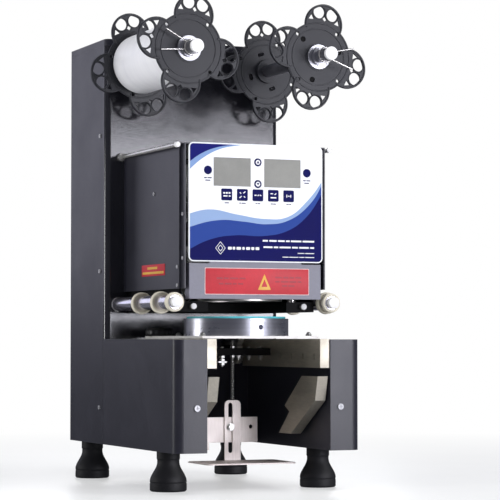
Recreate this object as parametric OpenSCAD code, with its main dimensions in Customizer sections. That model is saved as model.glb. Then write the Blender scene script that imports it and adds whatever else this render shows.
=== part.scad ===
// Bench-top cup sealing machine: a column and a two-legged base on rubber feet,
// a sealing head over a sliding cup drawer, and two film reels on top.
// X runs across the machine, +Y to its back, +Z up. The origin is on the surface
// it stands on, in the middle of its footprint.

/* [Body] */
// Width of the base and the column
body_w = 238; // [234:1:244]
// Depth of the base and the column together
body_d = 378; // [374:1:384]
// Height of the underside of the base above the surface
foot_h = 48; // [44:1:52]
// Height of the top of the column
top_z = 560; // [556:1:566]
// Width of each leg of the base
leg_w = 40; // [39:1:41]
// Thickness of the sheet metal
sheet = 1.6; // [1.2:0.1:1.8]
// Radius of the front corners of the base
base_r = 11; // [8:1:12]
// Radius of the front corners of the column
column_r = 7; // [5:0.5:7.5]

/* [Head] */
// Width of the sealing head
head_w = 188; // [186:1:190]
// Height of the top of the head
head_top = 413; // [412:1:416]
// Width of the control panel
panel_w = 174; // [172:1:175]
// Corner radius of the control panel
panel_r = 6; // [3:1:8]
// Side of a square key
key_w = 13.5; // [12:0.5:14]
// Distance between the centres of the square keys
key_pitch = 20.2; // [19:0.1:20.4]

/* [Cup mould] */
// Diameter of the hole that the cup hangs in
cup_d = 90; // [86:1:91]
// Outer diameter of the mould ring
ring_d = 127.5; // [124:0.5:128]
// Height of the mould ring
ring_h = 21; // [19:1:21]

/* [Reels] */
// Height of the reel shafts
reel_z = 524; // [520:1:526]
// Distance of each reel shaft from the middle
reel_x = 87; // [86:1:88]
// Radius of the reel shafts
shaft_r = 8; // [7:0.5:8]
// Radius of the film roll
film_r = 37; // [20:1:41]
// Radius of the solid middle of a reel disc
disc_r = 43; // [41:1:44]
// Radius of each lobe of a reel disc
lobe_r = 25; // [24:0.5:25.5]
// Thickness of a reel disc
disc_t = 3; // [2:0.5:4]

/* [Hidden] */
$fn = 48;
tiny = 0.01;
fit_gap = 0.05;

// Half widths, and the main levels of the base
half_w = body_w / 2;
leg_in = half_w - leg_w;
base_top = 180;
front_y = -body_d / 2;

// Depths, all measured back from the front face of the base
column_face = 242;
column_y = 250;
head_y = 40;
seal_y = 101;
seam = 0.7;

// Levels of the head, the film path and the drawer
head_half = head_w / 2;
head_bottom = 240;
cover_bottom = 228;
bridge_z = 344;
film_plate_z = [213, 225];
drawer_z = [181, 184];
ring_z = drawer_z[1];
platform_z = 29.5;
clamp_z = 72;

// Rack and pinion drives: module, number of teeth and pressure angle
gear_m = 1.5;
gear_n = 16;
pressure_angle = 20;
pitch_r = gear_m * gear_n / 2;
gear_pitch = PI * gear_m;
backlash = 0.35;
drawer_gear_y = 225;
drawer_gear_z = 162;
press_gear_y = 162;
press_gear_z = 310;

// Rollers beside the head
roller_x = 102;
roller_z = 224;
roller_r = 8.5;
axle_r = 5;
roller_ends = [44, 240];

// Control panel: key rows and places
key_mid_x = 1.8;
key_row_z = 352;
arrow_z = [365.5, 391.5];
round_key_x = 64.5;
round_key_z = 380.5;
key_gap = 0.3;
lobe_x = 41;
display_size = [48, 34];
display_x = [-31.5, 34];
display_z = 379;

// Colours
BLACK = [0.17, 0.17, 0.2];
STEEL = [0.8, 0.8, 0.8];
CREAM = [0.86, 0.84, 0.76];
NAVY = [0.12, 0.14, 0.43];
RUBBER = [0.08, 0.08, 0.09];

// ---------- Helpers ----------

// Places a piece that is drawn with Y = 0 at the front face of the base
module placed() {
    translate([0, front_y, 0]) children();
}

// A block between two values on each axis
module block(x, y, z) {
    translate([x[0], y[0], z[0]]) cube([x[1] - x[0], y[1] - y[0], z[1] - z[0]]);
}

// Round bars along each axis
module bar_x(x, y, z, r) {
    translate([x[0], y, z]) rotate([0, 90, 0]) cylinder(h = x[1] - x[0], r = r);
}
module bar_y(x, y, z, r) {
    translate([x, y[0], z]) rotate([-90, 0, 0]) cylinder(h = y[1] - y[0], r = r);
}
module bar_z(x, y, z, r) {
    translate([x, y, z[0]]) cylinder(h = z[1] - z[0], r = r);
}

// A copy on each side of the middle plane
module both_sides() {
    for (side = [0, 1]) mirror([side, 0, 0]) children();
}

// Outline with its two front corners rounded, from y0 back to y1
module front_rounded(half, y0, y1, r) {
    translate([-(half - r), y0]) square([2 * (half - r), y1 - y0]);
    translate([-half, y0 + r]) square([2 * half, y1 - y0 - r]);
    for (side = [-1, 1]) translate([side * (half - r), y0 + r]) intersection() {
        circle(r);
        translate([-r, -r]) square([2 * r, r + tiny]);
    }
}

// Rectangle round its centre with four round corners
module rounded_rect(size, r) {
    square([size[0] - 2 * r, size[1]], center = true);
    square([size[0], size[1] - 2 * r], center = true);
    for (sx = [-1, 1], sy = [-1, 1])
        translate([sx * (size[0] / 2 - r), sy * (size[1] / 2 - r)]) circle(r);
}

// Stands an outline up in the XZ plane, from y0 back to y1
module upright(y0, y1) {
    translate([0, y1, 0]) rotate([90, 0, 0]) linear_extrude(y1 - y0) children();
}

// Cuts an outline drawn as (Y, Z) across X, from x0 to x1
module side_cut(x0, x1) {
    translate([x0, 0, 0]) rotate([90, 0, 90]) linear_extrude(x1 - x0) children();
}

// Pan-head screw with a cross slot, head to -Y and washer face at Y = 0, and the hole it needs
module screw(r) {
    rotate([90, 0, 0]) difference() {
        union() {
            cylinder(h = r * 0.55, r = r);
            translate([0, 0, -3]) cylinder(h = 3 + tiny, r = r * 0.45);
        }
        for (turn = [0, 90])
            rotate([0, 0, turn]) translate([-r * 0.6, -r * 0.12, r * 0.25]) cube([r * 1.2, r * 0.24, r]);
    }
}
module screw_hole(r) {
    rotate([-90, 0, 0]) translate([0, 0, -1]) cylinder(h = 5, r = r * 0.45 + 0.03);
}

// Where the screws of the base, the column and the head stand
module base_screw_places() {
    for (side = [-1, 1]) translate([side * 92, 0, 100]) children();
}
module column_screw_places() {
    for (side = [-1, 1]) {
        for (z = [94, 266, 438]) translate([side * half_w, 262, z]) rotate([0, 0, side * 90]) children();
        for (z = [120, 270, 430, 530]) translate([side * 106, body_d, z]) rotate([0, 0, 180]) children();
    }
}
module head_screw_places() {
    for (side = [-1, 1]) {
        for (spot = [[135, 357], [57, 244], [57, 266]])
            translate([side * head_half, spot[0], spot[1]]) rotate([0, 0, side * 90]) children();
        for (z = [276, 328]) translate([side * (head_half - 2.5), 46, z]) rotate([0, 0, side * 90]) children();
    }
}

// ---------- Base and column ----------

// Plan of a leg: its back stops short of the column cover, which leaves a seam
module leg_outline(inset) {
    r = base_r - inset;
    x1 = half_w - inset;
    x0 = leg_in + inset;
    y0 = inset;
    y1 = column_y - seam;
    translate([x0, y0]) square([x1 - r - x0, y1 - y0]);
    translate([x0, y0 + r]) square([x1 - x0, y1 - y0 - r]);
    translate([x1 - r, y0 + r]) circle(r);
}

module leg() {
    difference() {
        translate([0, 0, foot_h]) linear_extrude(base_top - foot_h) leg_outline(0);
        translate([0, 0, foot_h + sheet]) linear_extrude(base_top - foot_h - 2 * sheet) leg_outline(sheet);
    }
}

// Two hollow legs, the wall and the deck between them, and the floor of the column
module base_shell() {
    color(BLACK) placed() difference() {
        union() {
            both_sides() leg();
            block([-leg_in - 1, leg_in + 1], [column_y - sheet, column_y], [foot_h, base_top]);
            block([-leg_in - 1, leg_in + 1], [236.5, column_y], [base_top - sheet, base_top]);
            block([-half_w + sheet + 0.3, half_w - sheet - 0.3], [column_y - sheet, body_d - 8], [foot_h, foot_h + sheet]);
        }
        // openings under the legs between their feet
        both_sides() block([leg_in + 8, half_w - 8], [110, 200], [foot_h - 1, foot_h + sheet + 1]);
        base_screw_places() screw_hole(3.6);
        // way through for the drawer's rack and its pinion
        block([42, 68], [210, 260], [drawer_gear_z + 6, base_top + 1]);
        bar_x([leg_in - 1, leg_in + sheet + 1], drawer_gear_y, drawer_gear_z, 6);
    }
}

module column_cover() {
    color(BLACK) placed() difference() {
        block([-half_w, half_w], [column_y, body_d], [foot_h, top_z - 8]);
        block([-half_w + sheet, half_w - sheet], [column_y - 1, body_d - sheet], [foot_h - 1, top_z]);
        // cooling slots in the back
        for (column = [-1, 1], row = [0:9])
            block([column * 52 - 34, column * 52 + 34], [body_d - 5, body_d + 1], [300 + row * 12, 304 + row * 12]);
        block([-83.4, -36.6], [body_d - 5, body_d + 1], [70, 106]);
        column_screw_places() screw_hole(2.6);
    }
}

module column_front_panel() {
    color([0.3, 0.3, 0.34]) placed() difference() {
        union() {
            translate([0, 0, base_top + 0.3]) linear_extrude(top_z - 8 - base_top - 0.3)
                front_rounded(half_w, column_face, column_y, column_r);
            block([-half_w + sheet, half_w - sheet], [column_y - 1, column_y + 18], [base_top + 0.3, top_z - 8]);
        }
        translate([0, 0, base_top - 1]) linear_extrude(top_z)
            front_rounded(half_w - 2 * sheet, column_face + sheet, column_y + 30, column_r - sheet);
        // openings behind the head, for the rack and for the reel shafts
        block([-84, 84], [column_face - 1, column_y], [236, 404]);
        block([42, 68], [column_face - 1, column_y], [base_top - 1, 188]);
        for (side = [-1, 1]) {
            bar_y(side * reel_x, [column_face - 1, column_y], reel_z, shaft_r + 2.5);
            bar_y(side * roller_x, [column_face - 1, column_y], roller_z, axle_r + 0.02);
        }
        column_screw_places() screw_hole(2.6);
    }
}

module top_cover() {
    color(BLACK) placed() {
        translate([0, 0, top_z - 8]) difference() {
            linear_extrude(8) front_rounded(half_w, column_face, body_d, column_r);
            translate([0, 0, -1]) linear_extrude(9 - sheet)
                front_rounded(half_w - sheet, column_face + sheet, body_d - sheet, column_r - sheet);
        }
        for (side = [-1, 1])
            block([side * 60 - 20, side * 60 + 20], [body_d - 4.8, body_d - sheet], [top_z - 16, top_z - 1]);
    }
}

// Upright plate inside the column, with the bridge that carries the press columns
module inner_frame() {
    color(STEEL) placed() {
        difference() {
            block([-112, 112], [column_y + 2, column_y + 5], [foot_h + sheet, top_z - 14]);
            block([42, 68], [column_y, column_y + 8], [155, 192]);
            for (side = [-1, 1]) {
                bar_y(side * reel_x, [column_y, column_y + 8], reel_z, shaft_r + 2.5);
                bar_y(side * roller_x, [column_y, column_y + 8], roller_z, axle_r + 0.02);
            }
        }
        difference() {
            block([-82, 82], [62, column_y + 4], [bridge_z, bridge_z + 5]);
            for (side = [-1, 1]) bar_z(side * 74, seal_y, [bridge_z - 1, bridge_z + 6], 4);
        }
        both_sides() side_cut(76, 79)
            polygon([[150, bridge_z + 4], [column_y + 4, bridge_z + 4], [column_y + 4, bridge_z + 50]]);
    }
}

// Bell-shaped foot: the wall swells from neck to foot on a cosine curve
module foot() {
    neck_r = 13;
    foot_r = 22;
    band = 12;
    neck_z = 35;
    steps = 10;
    flare = [for (i = [0:steps])
        [foot_r - (foot_r - neck_r) * (1 - cos(180 * i / steps)) / 2, band + (neck_z - band) * i / steps]];
    rotate_extrude() polygon(concat([[0, 0], [foot_r - 1.5, 0], [foot_r, 1.5]], flare, [[neck_r, foot_h], [0, foot_h]]));
}

module rubber_feet() {
    color(RUBBER) placed()
        for (x = [-98, 98], y = [76, 350]) translate([x, y, 0]) foot();
}

// ---------- Drawer guides and cup rest ----------

module drawer_rails() {
    color(CREAM) placed() both_sides() difference() {
        block([66.5, leg_in], [2, 236], [146, drawer_z[0] - 0.4]);
        block([68, leg_in + 1], [3.6, 237], [147.6, drawer_z[0] - 2]);
        for (y = [18, 50, 84, 116]) block([66, 68.5], [y, y + 2], [156, 163]);
        bar_x([66, 69], drawer_gear_y, drawer_gear_z, 6);
    }
}

module cross_bar() {
    color(BLACK) placed() difference() {
        block([-66.5, 66.5], [147.5, 153], [160, 169]);
        for (x = [2, 16, 24, 38, 54]) bar_z(x, 150.2, [159, 170], 1.5);
    }
}

// Folded guards hung on the inner walls of the legs, each with two spacers
module guide_brackets() {
    web = [[2, 136], [47, 136], [97, 99], [83, 92], [114, 65], [79, 65], [9, 107]];
    edge = [[2, 136], [9, 107], [79, 65], [80.5, 67], [10.5, 109], [3.6, 136]];
    color(CREAM) placed() both_sides() {
        side_cut(63, 64.6) polygon(web);
        side_cut(63, 76.5) polygon(edge);
        bar_x([64, leg_in], 30, 122, 4);
        bar_x([64, leg_in], 84, 76, 4);
    }
}

module platform_bracket() {
    color(STEEL) placed() difference() {
        union() {
            block([-leg_in, 45], [139, 141], [53, 84]);
            block([-leg_in, -20], [139, 141], [44, 54]);
            block([-leg_in, -leg_in + 2], [139, 163], [44, 84]);
        }
        bar_y(7.8, [138, 142], clamp_z, 2);
        bar_y(36, [138, 142], clamp_z, 2.6);
    }
}

// Clamp screw with its nut and washer, the adjusting rod and what hangs on the cross bar
module platform_hardware() {
    color(STEEL) placed() {
        bar_y(7.8, [132, 146], clamp_z, 2);
        bar_y(7.8, [135, 136.8], clamp_z, 4.6);
        translate([7.8, 135, clamp_z]) rotate([90, 0, 0]) cylinder(h = 2.4, r = 3.9, $fn = 6);
        translate([7.8, 144.2, clamp_z]) rotate([90, 0, 0]) cylinder(h = 3.2, r = 3.9, $fn = 6);
        bar_z(16, 150.2, [106, 171], 1.5);
        for (z = [169, 157.6]) translate([16, 150.2, z]) cylinder(h = 2.4, r = 3, $fn = 6);
        for (x = [24, 38, 54]) {
            bar_z(x, 150.2, [154, 171], 1.5);
            translate([x, 150.2, 156.4]) cylinder(h = 3.4, r = 3.2, $fn = 6);
        }
        bar_z(2, 150.2, [146, 171], 1.5);
        for (z = [148, 153, 157]) translate([2, 150.2, z]) cylinder(h = 2.6, r = 3.6, $fn = 6);
        block([-3.5, 7.5], [148, 152.4], [151, 152.6]);
    }
}

// Folded rest below the drawer, with a long slot so that it can be set up and down
module cup_platform() {
    post_x = 10.8;
    post_w = 21.6;
    color(STEEL) placed() {
        translate([8, 102.5, platform_z]) linear_extrude(1.5) difference() {
            rounded_rect([116, 71], 6);
            for (x = [-44, 44]) translate([x, -22]) circle(2.2);
        }
        upright(137, 138.5) difference() {
            union() {
                translate([post_x - post_w / 2, platform_z + 0.5]) square([post_w, 69.5]);
                translate([post_x, 95]) rounded_rect([post_w, 20], 6);
            }
            translate([7.8, 70.85]) rounded_rect([5.5, 61.7], 2.7);
        }
    }
}

// ---------- Sealing head ----------

module head_cover() {
    color(BLACK) placed() difference() {
        union() {
            block([-head_half, head_half], [52, column_face], [head_bottom, head_top]);
            block([-head_half + 2.5, head_half - 2.5], [head_y + 0.8, 53], [head_bottom, head_top - 0.6]);
        }
        block([-head_half + sheet, head_half - sheet], [54, column_face + 1], [head_bottom - 1, head_top - sheet]);
        block([-head_half + 4.1, head_half - 4.1], [head_y, 55], [head_bottom - 1, head_top - 0.6 - sheet]);
        head_screw_places() screw_hole(2.2);
    }
}

module key_places() {
    for (i = [-2:2]) translate([key_mid_x + i * key_pitch, key_row_z]) children(0);
    for (z = arrow_z) translate([key_mid_x, z]) children(1);
    for (side = [-1, 1]) translate([key_mid_x + side * round_key_x, round_key_z]) children(2);
}

module control_panel() {
    color("white") placed() upright(head_y - 1.4, head_y + 0.8) difference() {
        translate([0, (272 + head_top) / 2]) rounded_rect([panel_w, head_top - 272], panel_r);
        for (x = display_x) translate([x, display_z]) square(display_size, center = true);
        key_places() {
            rounded_rect([key_w + 2 * key_gap, key_w + 2 * key_gap], 1.5);
            circle(4.6 + key_gap);
            circle(4.9 + key_gap);
        }
    }
}

module display_windows() {
    color([0.6, 0.6, 0.58]) placed()
        for (x = display_x) translate([x, 0, display_z]) {
            upright(head_y - 1.1, head_y + 0.8) square(display_size, center = true);
            upright(head_y + 0.8, head_y + 2.4) square(display_size + [1.4, 1.4], center = true);
        }
}

module panel_board() {
    color("darkgreen") placed() {
        block([-80, 80], [48, 49.6], [300, 405]);
        for (x = display_x) translate([x, 0, display_z]) upright(43, 48.1) square([44, 30], center = true);
        upright(43.1, 48.1) key_places() {
            square(6, center = true);
            square(6, center = true);
            square(6, center = true);
        }
        for (x = [-76, 76]) bar_y(x, [head_y + 0.8, 48.1], 305, 3);
    }
}

// A key: its cap stands in the panel's hole and its wider skirt keeps it in
module key_solid() {
    color(NAVY) placed() {
        upright(head_y - 1.7, head_y + 1.4) children(0);
        upright(head_y + 1.4, head_y + 2.4) children(1);
    }
}
module square_key(i) {
    translate([key_mid_x + i * key_pitch, 0, key_row_z]) key_solid() {
        rounded_rect([key_w, key_w], 1.3);
        rounded_rect([key_w + 1.6, key_w + 1.6], 1.3);
    }
}
module round_key(x, z, r) {
    translate([x, 0, z]) key_solid() {
        circle(r);
        circle(r + 0.9);
    }
}
module key_1() square_key(-2);
module key_2() square_key(-1);
module key_3() square_key(0);
module key_4() square_key(1);
module key_5() square_key(2);
module key_up() round_key(key_mid_x, arrow_z[1], 4.6);
module key_down() round_key(key_mid_x, arrow_z[0], 4.6);
module key_round_left() round_key(key_mid_x - round_key_x, round_key_z, 4.9);
module key_round_right() round_key(key_mid_x + round_key_x, round_key_z, 4.9);

// Front cover below the control panel, open behind and under the press
module lower_cover() {
    front = head_y + 0.8;
    color([0.5, 0.5, 0.56]) placed() {
        difference() {
            block([-85.5, 85.5], [front, head_y + 14], [cover_bottom, 270]);
            block([-85.5 + sheet, 85.5 - sheet], [front + sheet, head_y + 15], [cover_bottom + sheet, 270 - sheet]);
            block([-70, 70], [front + sheet + 1, head_y + 15], [cover_bottom - 1, cover_bottom + 4]);
        }
        block([-60, 60], [front, front + sheet], [270 - tiny, 280]);
    }
}

// Guide plate over the film path, open in front for the seal, with bores for its rods
module film_plate() {
    color(BLACK) placed() difference() {
        union() {
            block([-88, 88], [66, column_face], film_plate_z);
            both_sides() block([88 - sheet, 88], [66, column_face], [film_plate_z[1] - 1, head_bottom + 8]);
        }
        bar_z(0, seal_y, [film_plate_z[0] - 1, film_plate_z[1] + 1], 62);
        for (side = [-1, 1]) bar_y(side * 72, [65, column_face + 1], 219.5, 3.3);
        for (side = [-1, 1]) bar_z(side * 74, seal_y, [film_plate_z[1] - 1, film_plate_z[1] + 1], 6);
    }
}

// Two rods in the guide plate and two longer ones beside the top of the head
module film_guide_rods() {
    color(STEEL) placed() for (side = [-1, 1]) {
        bar_y(side * 72, [59, column_face], 219.5, 3.3);
        bar_y(side * 99, [50, column_face], 410, 2.8);
        bar_y(side * 99, [43, 51], 410, 4.5);
        bar_y(side * 99, [column_face - 6, column_face], 410, 5);
    }
}

module roller_axles() {
    color(STEEL) placed() for (side = [-1, 1]) {
        bar_y(side * roller_x, [38, column_y + 12], roller_z, axle_r);
        bar_y(side * roller_x, [36.5, roller_ends[0] - 0.4], roller_z, 6.7);
        bar_y(side * roller_x, [roller_ends[1] + 0.4, column_face], roller_z, 9);
        bar_y(side * roller_x, [column_y + 5, column_y + 9], roller_z, 9);
    }
}

// Tube turning on a fixed axle, with soft collars round it
module film_roller(side, collars) {
    placed() difference() {
        union() {
            bar_y(side * roller_x, roller_ends, roller_z, roller_r);
            for (y = collars) bar_y(side * roller_x, [y - 4, y + 4], roller_z, 13.5);
            bar_y(side * roller_x, [roller_ends[0], roller_ends[0] + 6], roller_z, 11.6);
        }
        bar_y(side * roller_x, [roller_ends[0] - 1, roller_ends[1] + 1], roller_z, axle_r + fit_gap);
    }
}
module roller_left() color(STEEL) film_roller(-1, [91, 157]);
module roller_right() color(STEEL) film_roller(1, [60, 157]);

// ---------- Drives, press and electrics ----------

// Involute pinion on the Z axis, thinned by the backlash: each tooth's two flanks follow the
// involute of the base circle from the root circle to the tip circle
function involute(base_r, angle) =
    base_r * [cos(angle) + angle * PI / 180 * sin(angle), sin(angle) - angle * PI / 180 * cos(angle)];
function roll_angle(base_r, r) = r <= base_r ? 0 : sqrt(pow(r / base_r, 2) - 1) * 180 / PI;
function turned(p, a) = [p[0] * cos(a) - p[1] * sin(a), p[0] * sin(a) + p[1] * cos(a)];
module pinion_outline() {
    base_c = pitch_r * cos(pressure_angle);
    tip_r = pitch_r + gear_m * 0.9;
    root_r = pitch_r - gear_m * 1.25;
    at_pitch = involute(base_c, roll_angle(base_c, pitch_r));
    half_tooth = 90 / gear_n - (backlash / 2) / pitch_r * 180 / PI / 2 + atan2(at_pitch[1], at_pitch[0]);
    steps = 5;
    flank = [for (i = [0:steps]) involute(base_c, roll_angle(base_c, tip_r) * i / steps)];
    left = [for (p = flank) turned(p, -half_tooth)];
    right = [for (i = [steps:-1:0]) [left[i][0], -left[i][1]]];
    foot_in = turned([root_r - 0.5, 0], -half_tooth);
    circle(root_r);
    for (tooth = [0:gear_n - 1]) rotate([0, 0, tooth * 360 / gear_n])
        polygon(concat([foot_in], left, right, [[foot_in[0], -foot_in[1]]]));
}

// Rack with its pitch line on Y = 0 and its teeth pointing to +Y: centre of a gap at X = 0
module rack_outline(x0, x1, back) {
    tip = gear_m * 0.9;
    root = -gear_m * 1.25;
    slope = tan(pressure_angle);
    half_t = gear_pitch / 4 - backlash / 4;
    translate([x0, -back]) square([x1 - x0, back + root]);
    first = ceil((x0 + gear_pitch / 2) / gear_pitch);
    last = floor((x1 - gear_pitch / 2) / gear_pitch) - 1;
    for (i = [first:last]) translate([(i + 0.5) * gear_pitch, 0]) polygon([
        [-half_t + root * slope, root - 0.2], [half_t - root * slope, root - 0.2],
        [half_t - tip * slope, tip], [-half_t + tip * slope, tip]
    ]);
}

// Gear and shaft along X; one tooth points straight at the rack's gap
module pinion(x, y, z, shaft_x) {
    color(STEEL) placed() {
        translate([x[0], y, z]) rotate([0, 90, 0]) linear_extrude(x[1] - x[0]) pinion_outline();
        bar_x(shaft_x, y, z, 3.5);
    }
}
module drawer_pinion() pinion([50, 58], drawer_gear_y, drawer_gear_z, [48, 92]);
module press_pinion() pinion([-5, 5], press_gear_y, press_gear_z, [-26, 7]);

// Rack under the tongue behind the drawer plate, teeth down, reaching into the column
module drawer_rack() {
    color(STEEL) placed() translate([0, drawer_gear_y, drawer_gear_z + pitch_r])
        side_cut(50, 58) mirror([0, 1]) rack_outline(-12, 120, 7);
}

// Plate that slides on the two columns, with an upright rack whose teeth look back
module press_carriage() {
    color(STEEL) placed() {
        difference() {
            union() {
                block([-84.5, 84.5], [seal_y - 22, seal_y + 45], [262, 270]);
                for (side = [-1, 1]) bar_z(side * 74, seal_y, [256, 284], 10);
            }
            for (side = [-1, 1]) bar_z(side * 74, seal_y, [255, 285], 6 + fit_gap);
            bar_z(0, seal_y, [261, 271], 7);
        }
        translate([0, press_gear_y - pitch_r, press_gear_z])
            side_cut(-4, 4) mirror([1, -1]) rack_outline(-48, 28, 7);
    }
}

module heater_plate() {
    color([0.75, 0.72, 0.68]) placed() {
        bar_z(0, seal_y, [228, 244], 48);
        bar_z(0, seal_y, [243, 262], 14);
        bar_z(0, seal_y, [261, 276], 7);
    }
}

module cutter_ring() {
    color(STEEL) placed() difference() {
        bar_z(0, seal_y, [226, 262], 56);
        bar_z(0, seal_y, [225, 263], 51);
    }
}

module press_columns() {
    color(STEEL) placed() for (side = [-1, 1]) {
        bar_z(side * 74, seal_y, [film_plate_z[1] - 1, bridge_z], 6);
        bar_z(side * 74, seal_y, [bridge_z - 1, bridge_z + 8], 4);
        translate([side * 74, seal_y, bridge_z + 5]) cylinder(h = 5, r = 7.5, $fn = 6);
    }
}

// Gear motor: gearbox, motor can and the bore that takes its shaft, along X from x0
module gear_motor(x0, direction, y, z, box_r, can_r, box_len, can_len, bore_r, bore_len) {
    color([0.55, 0.55, 0.58]) placed() translate([x0, y, z]) rotate([0, direction * 90, 0]) difference() {
        union() {
            cylinder(h = box_len, r = box_r);
            translate([0, 0, box_len - tiny]) cylinder(h = can_len, r = can_r);
        }
        translate([0, 0, -1]) cylinder(h = bore_len + 1, r = bore_r);
    }
}
module drawer_motor()
    gear_motor(leg_in + sheet, 1, drawer_gear_y, drawer_gear_z, 15.5, 14, 15, 20, 3.5 + fit_gap, 13);
module press_motor() {
    gear_motor(-12, -1, press_gear_y, press_gear_z, 18, 15, 22, 40, 3.5 + fit_gap, 15);
    color(STEEL) placed() block([-32, -20], [150, 174], [press_gear_z + 15, bridge_z]);
}

module reel_motor() {
    color([0.55, 0.55, 0.58]) placed() difference() {
        union() {
            bar_y(reel_x, [278, 312], reel_z, 20);
            bar_y(reel_x, [311, 352], reel_z, 17);
            block([reel_x - 20, reel_x + 20], [column_y + 5, 279], [reel_z - 24, reel_z - 19]);
        }
        bar_y(reel_x, [277, 292], reel_z, shaft_r + fit_gap);
    }
}

// Flanged bearing housings behind the upright plate
module reel_bearings() {
    color([0.45, 0.45, 0.48]) placed() for (side = [-1, 1]) difference() {
        union() {
            bar_y(side * reel_x, [column_y + 5, column_y + 9], reel_z, 17);
            bar_y(side * reel_x, [column_y + 5, 276], reel_z, 13);
        }
        bar_y(side * reel_x, [column_y + 4, 277], reel_z, shaft_r + fit_gap);
    }
}

module main_board() {
    color("darkgreen") placed() {
        block([-96, 20], [300, 301.6], [330, 470]);
        for (x = [-80, -50, -20]) block([x, x + 20], [301.5, 318], [350, 368]);
        for (x = [-78, -60, -42]) bar_y(x, [301.5, 325], 440, 6);
        for (x = [-92, 16], z = [336, 464]) bar_y(x, [column_y + 5, 300.1], z, 3);
    }
}

module power_supply() {
    color(STEEL) placed() difference() {
        union() {
            block([-104, 10], [290, 352], [190, 290]);
            for (x = [-90, -10]) block([x, x + 12], [column_y + 5, 291], [232, 250]);
        }
        for (row = [0:6]) block([-92, -2], [340, 353], [202 + row * 12, 206 + row * 12]);
    }
}

// Mains inlet and switch housing in one frame: socket on the left, rocker on the right
module power_inlet() {
    color(RUBBER) placed() difference() {
        union() {
            block([-87, -33], [body_d, body_d + 1.5], [66, 110]);
            block([-83, -37], [body_d - 24, body_d + 0.5], [70.4, 105.6]);
        }
        difference() {
            block([-81, -57], [body_d - 18, body_d + 2], [79, 96]);
            for (x = [-76, -62]) block([x - 1, x + 1], [body_d - 19, body_d - 6], [84, 88.5]);
            block([-70, -68], [body_d - 19, body_d - 6], [88, 92.5]);
        }
        block([-52.4, -38.6], [body_d - 10, body_d + 2], [77, 99]);
        bar_x([-54.4, -37.4], body_d - 3, 88, 1.5);
    }
}

// See-saw switch button on a cross pin, held a little tilted
module power_rocker() {
    tilt = 8;
    color(RUBBER) placed() translate([-45.5, body_d - 3, 88]) rotate([tilt, 0, 0]) {
        translate([-6.5, 0, 0]) side_cut(0, 13)
            polygon([[-4, -7.5], [-4, 7.5], [5, 9.5], [3, 0], [5, -9.5]]);
        bar_x([-7.9, 7.9], 0, 0, 1.45);
    }
}

module cover_screws() {
    color(STEEL) placed() {
        base_screw_places() screw(3.6);
        column_screw_places() screw(2.6);
        head_screw_places() screw(2.2);
    }
}

// ---------- Drawer ----------

module drawer_plate() {
    color(STEEL) placed() difference() {
        union() {
            block([-75, 75], [25, 216], drawer_z);
            block([44, 64], [215, 345], drawer_z);
        }
        bar_z(0, seal_y, [drawer_z[0] - 1, drawer_z[1] + 1], cup_d / 2 + 2);
    }
}

module mould_ring() {
    color(STEEL) placed() difference() {
        bar_z(0, seal_y, [ring_z, ring_z + ring_h], ring_d / 2);
        bar_z(0, seal_y, [ring_z - 1, ring_z + ring_h + 1], cup_d / 2);
        bar_y(5, [seal_y - ring_d / 2 - 1, seal_y - 50], ring_z + ring_h / 2, 3);
    }
}

module ring_gasket() {
    color([0.35, 0.72, 0.74]) placed() difference() {
        bar_z(0, seal_y, [ring_z + ring_h, ring_z + ring_h + 2.4], 60);
        bar_z(0, seal_y, [ring_z + ring_h - 1, ring_z + ring_h + 4], cup_d / 2 + 1.5);
    }
}

// Knob and dome nuts that hold the mould plate
module drawer_fittings() {
    color(RUBBER) placed() {
        translate([-64, 196, drawer_z[1]]) rotate_extrude()
            polygon([[0, 0], [15, 0], [17, 2], [17, 7], [14, 9.5], [6, 11], [0, 11.3]]);
        for (place = [[-56, 150], [56, 150], [-69, 40], [69, 40]]) translate([place[0], place[1], drawer_z[1]]) {
            cylinder(h = 2.2, r = 3.6, $fn = 6);
            translate([0, 0, 2.2 - tiny]) rotate_extrude() intersection() {
                circle(2.9);
                square(4);
            }
        }
    }
}

// ---------- Reels ----------

// Outline of a reel disc: solid middle, four pierced lobes at the given angles
module disc_outline(lobes) {
    difference() {
        union() {
            circle(disc_r);
            for (a = lobes) rotate([0, 0, a]) translate([lobe_x, 0]) circle(lobe_r);
        }
        circle(shaft_r);
        for (a = lobes) rotate([0, 0, a]) lobe_windows();
    }
}

// Windows of one lobe: two round ones, cut straight by the rim, two corners and a small one between
module lobe_windows() {
    rim = 2.8;
    for (side = [-1, 1]) {
        intersection() {
            translate([54.5, side * 8.9]) circle(7.6);
            translate([lobe_x, 0]) circle(lobe_r - rim);
        }
        polygon([[44.6, side * 13.4], [50.8, side * 18.2], [43.4, side * 21.2]]);
    }
    polygon([[44.6, 0], [47.8, 3.2], [51, 0], [47.8, -3.2]]);
    rotate([0, 0, -30]) translate([38.5, 0]) circle(2.2);
}

// Disc whose front face lies at y, with a raised line round its middle
module reel_disc(x, y, lobes) {
    color(RUBBER) placed() translate([x, y + disc_t, reel_z]) rotate([90, 0, 0]) difference() {
        union() {
            linear_extrude(disc_t) disc_outline(lobes);
            translate([0, 0, disc_t - tiny]) rotate_extrude() translate([34, 0]) square([1.2, 0.8]);
            children(0);
        }
        children(1);
    }
}

// Boss and curved slots of the rear discs
module rear_hub() {
    difference() {
        cylinder(h = disc_t + 5, r = 15);
        translate([0, 0, -1]) cylinder(h = disc_t + 7, r = shaft_r);
    }
}
module rear_slots() {
    for (a = [20:90:290]) rotate([0, 0, a]) translate([23, 0, -1])
        linear_extrude(disc_t + 2) rounded_rect([5, 9], 2.4);
}
module front_hub() {
    difference() {
        cylinder(h = disc_t + 0.6, r = 17);
        translate([0, 0, -1]) cylinder(h = disc_t + 3, r = shaft_r);
    }
}
module blind_holes(angles) {
    for (a = angles) rotate([0, 0, a]) translate([29, 0, 1]) cylinder(h = disc_t + 3, r = 3.4);
}

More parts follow.
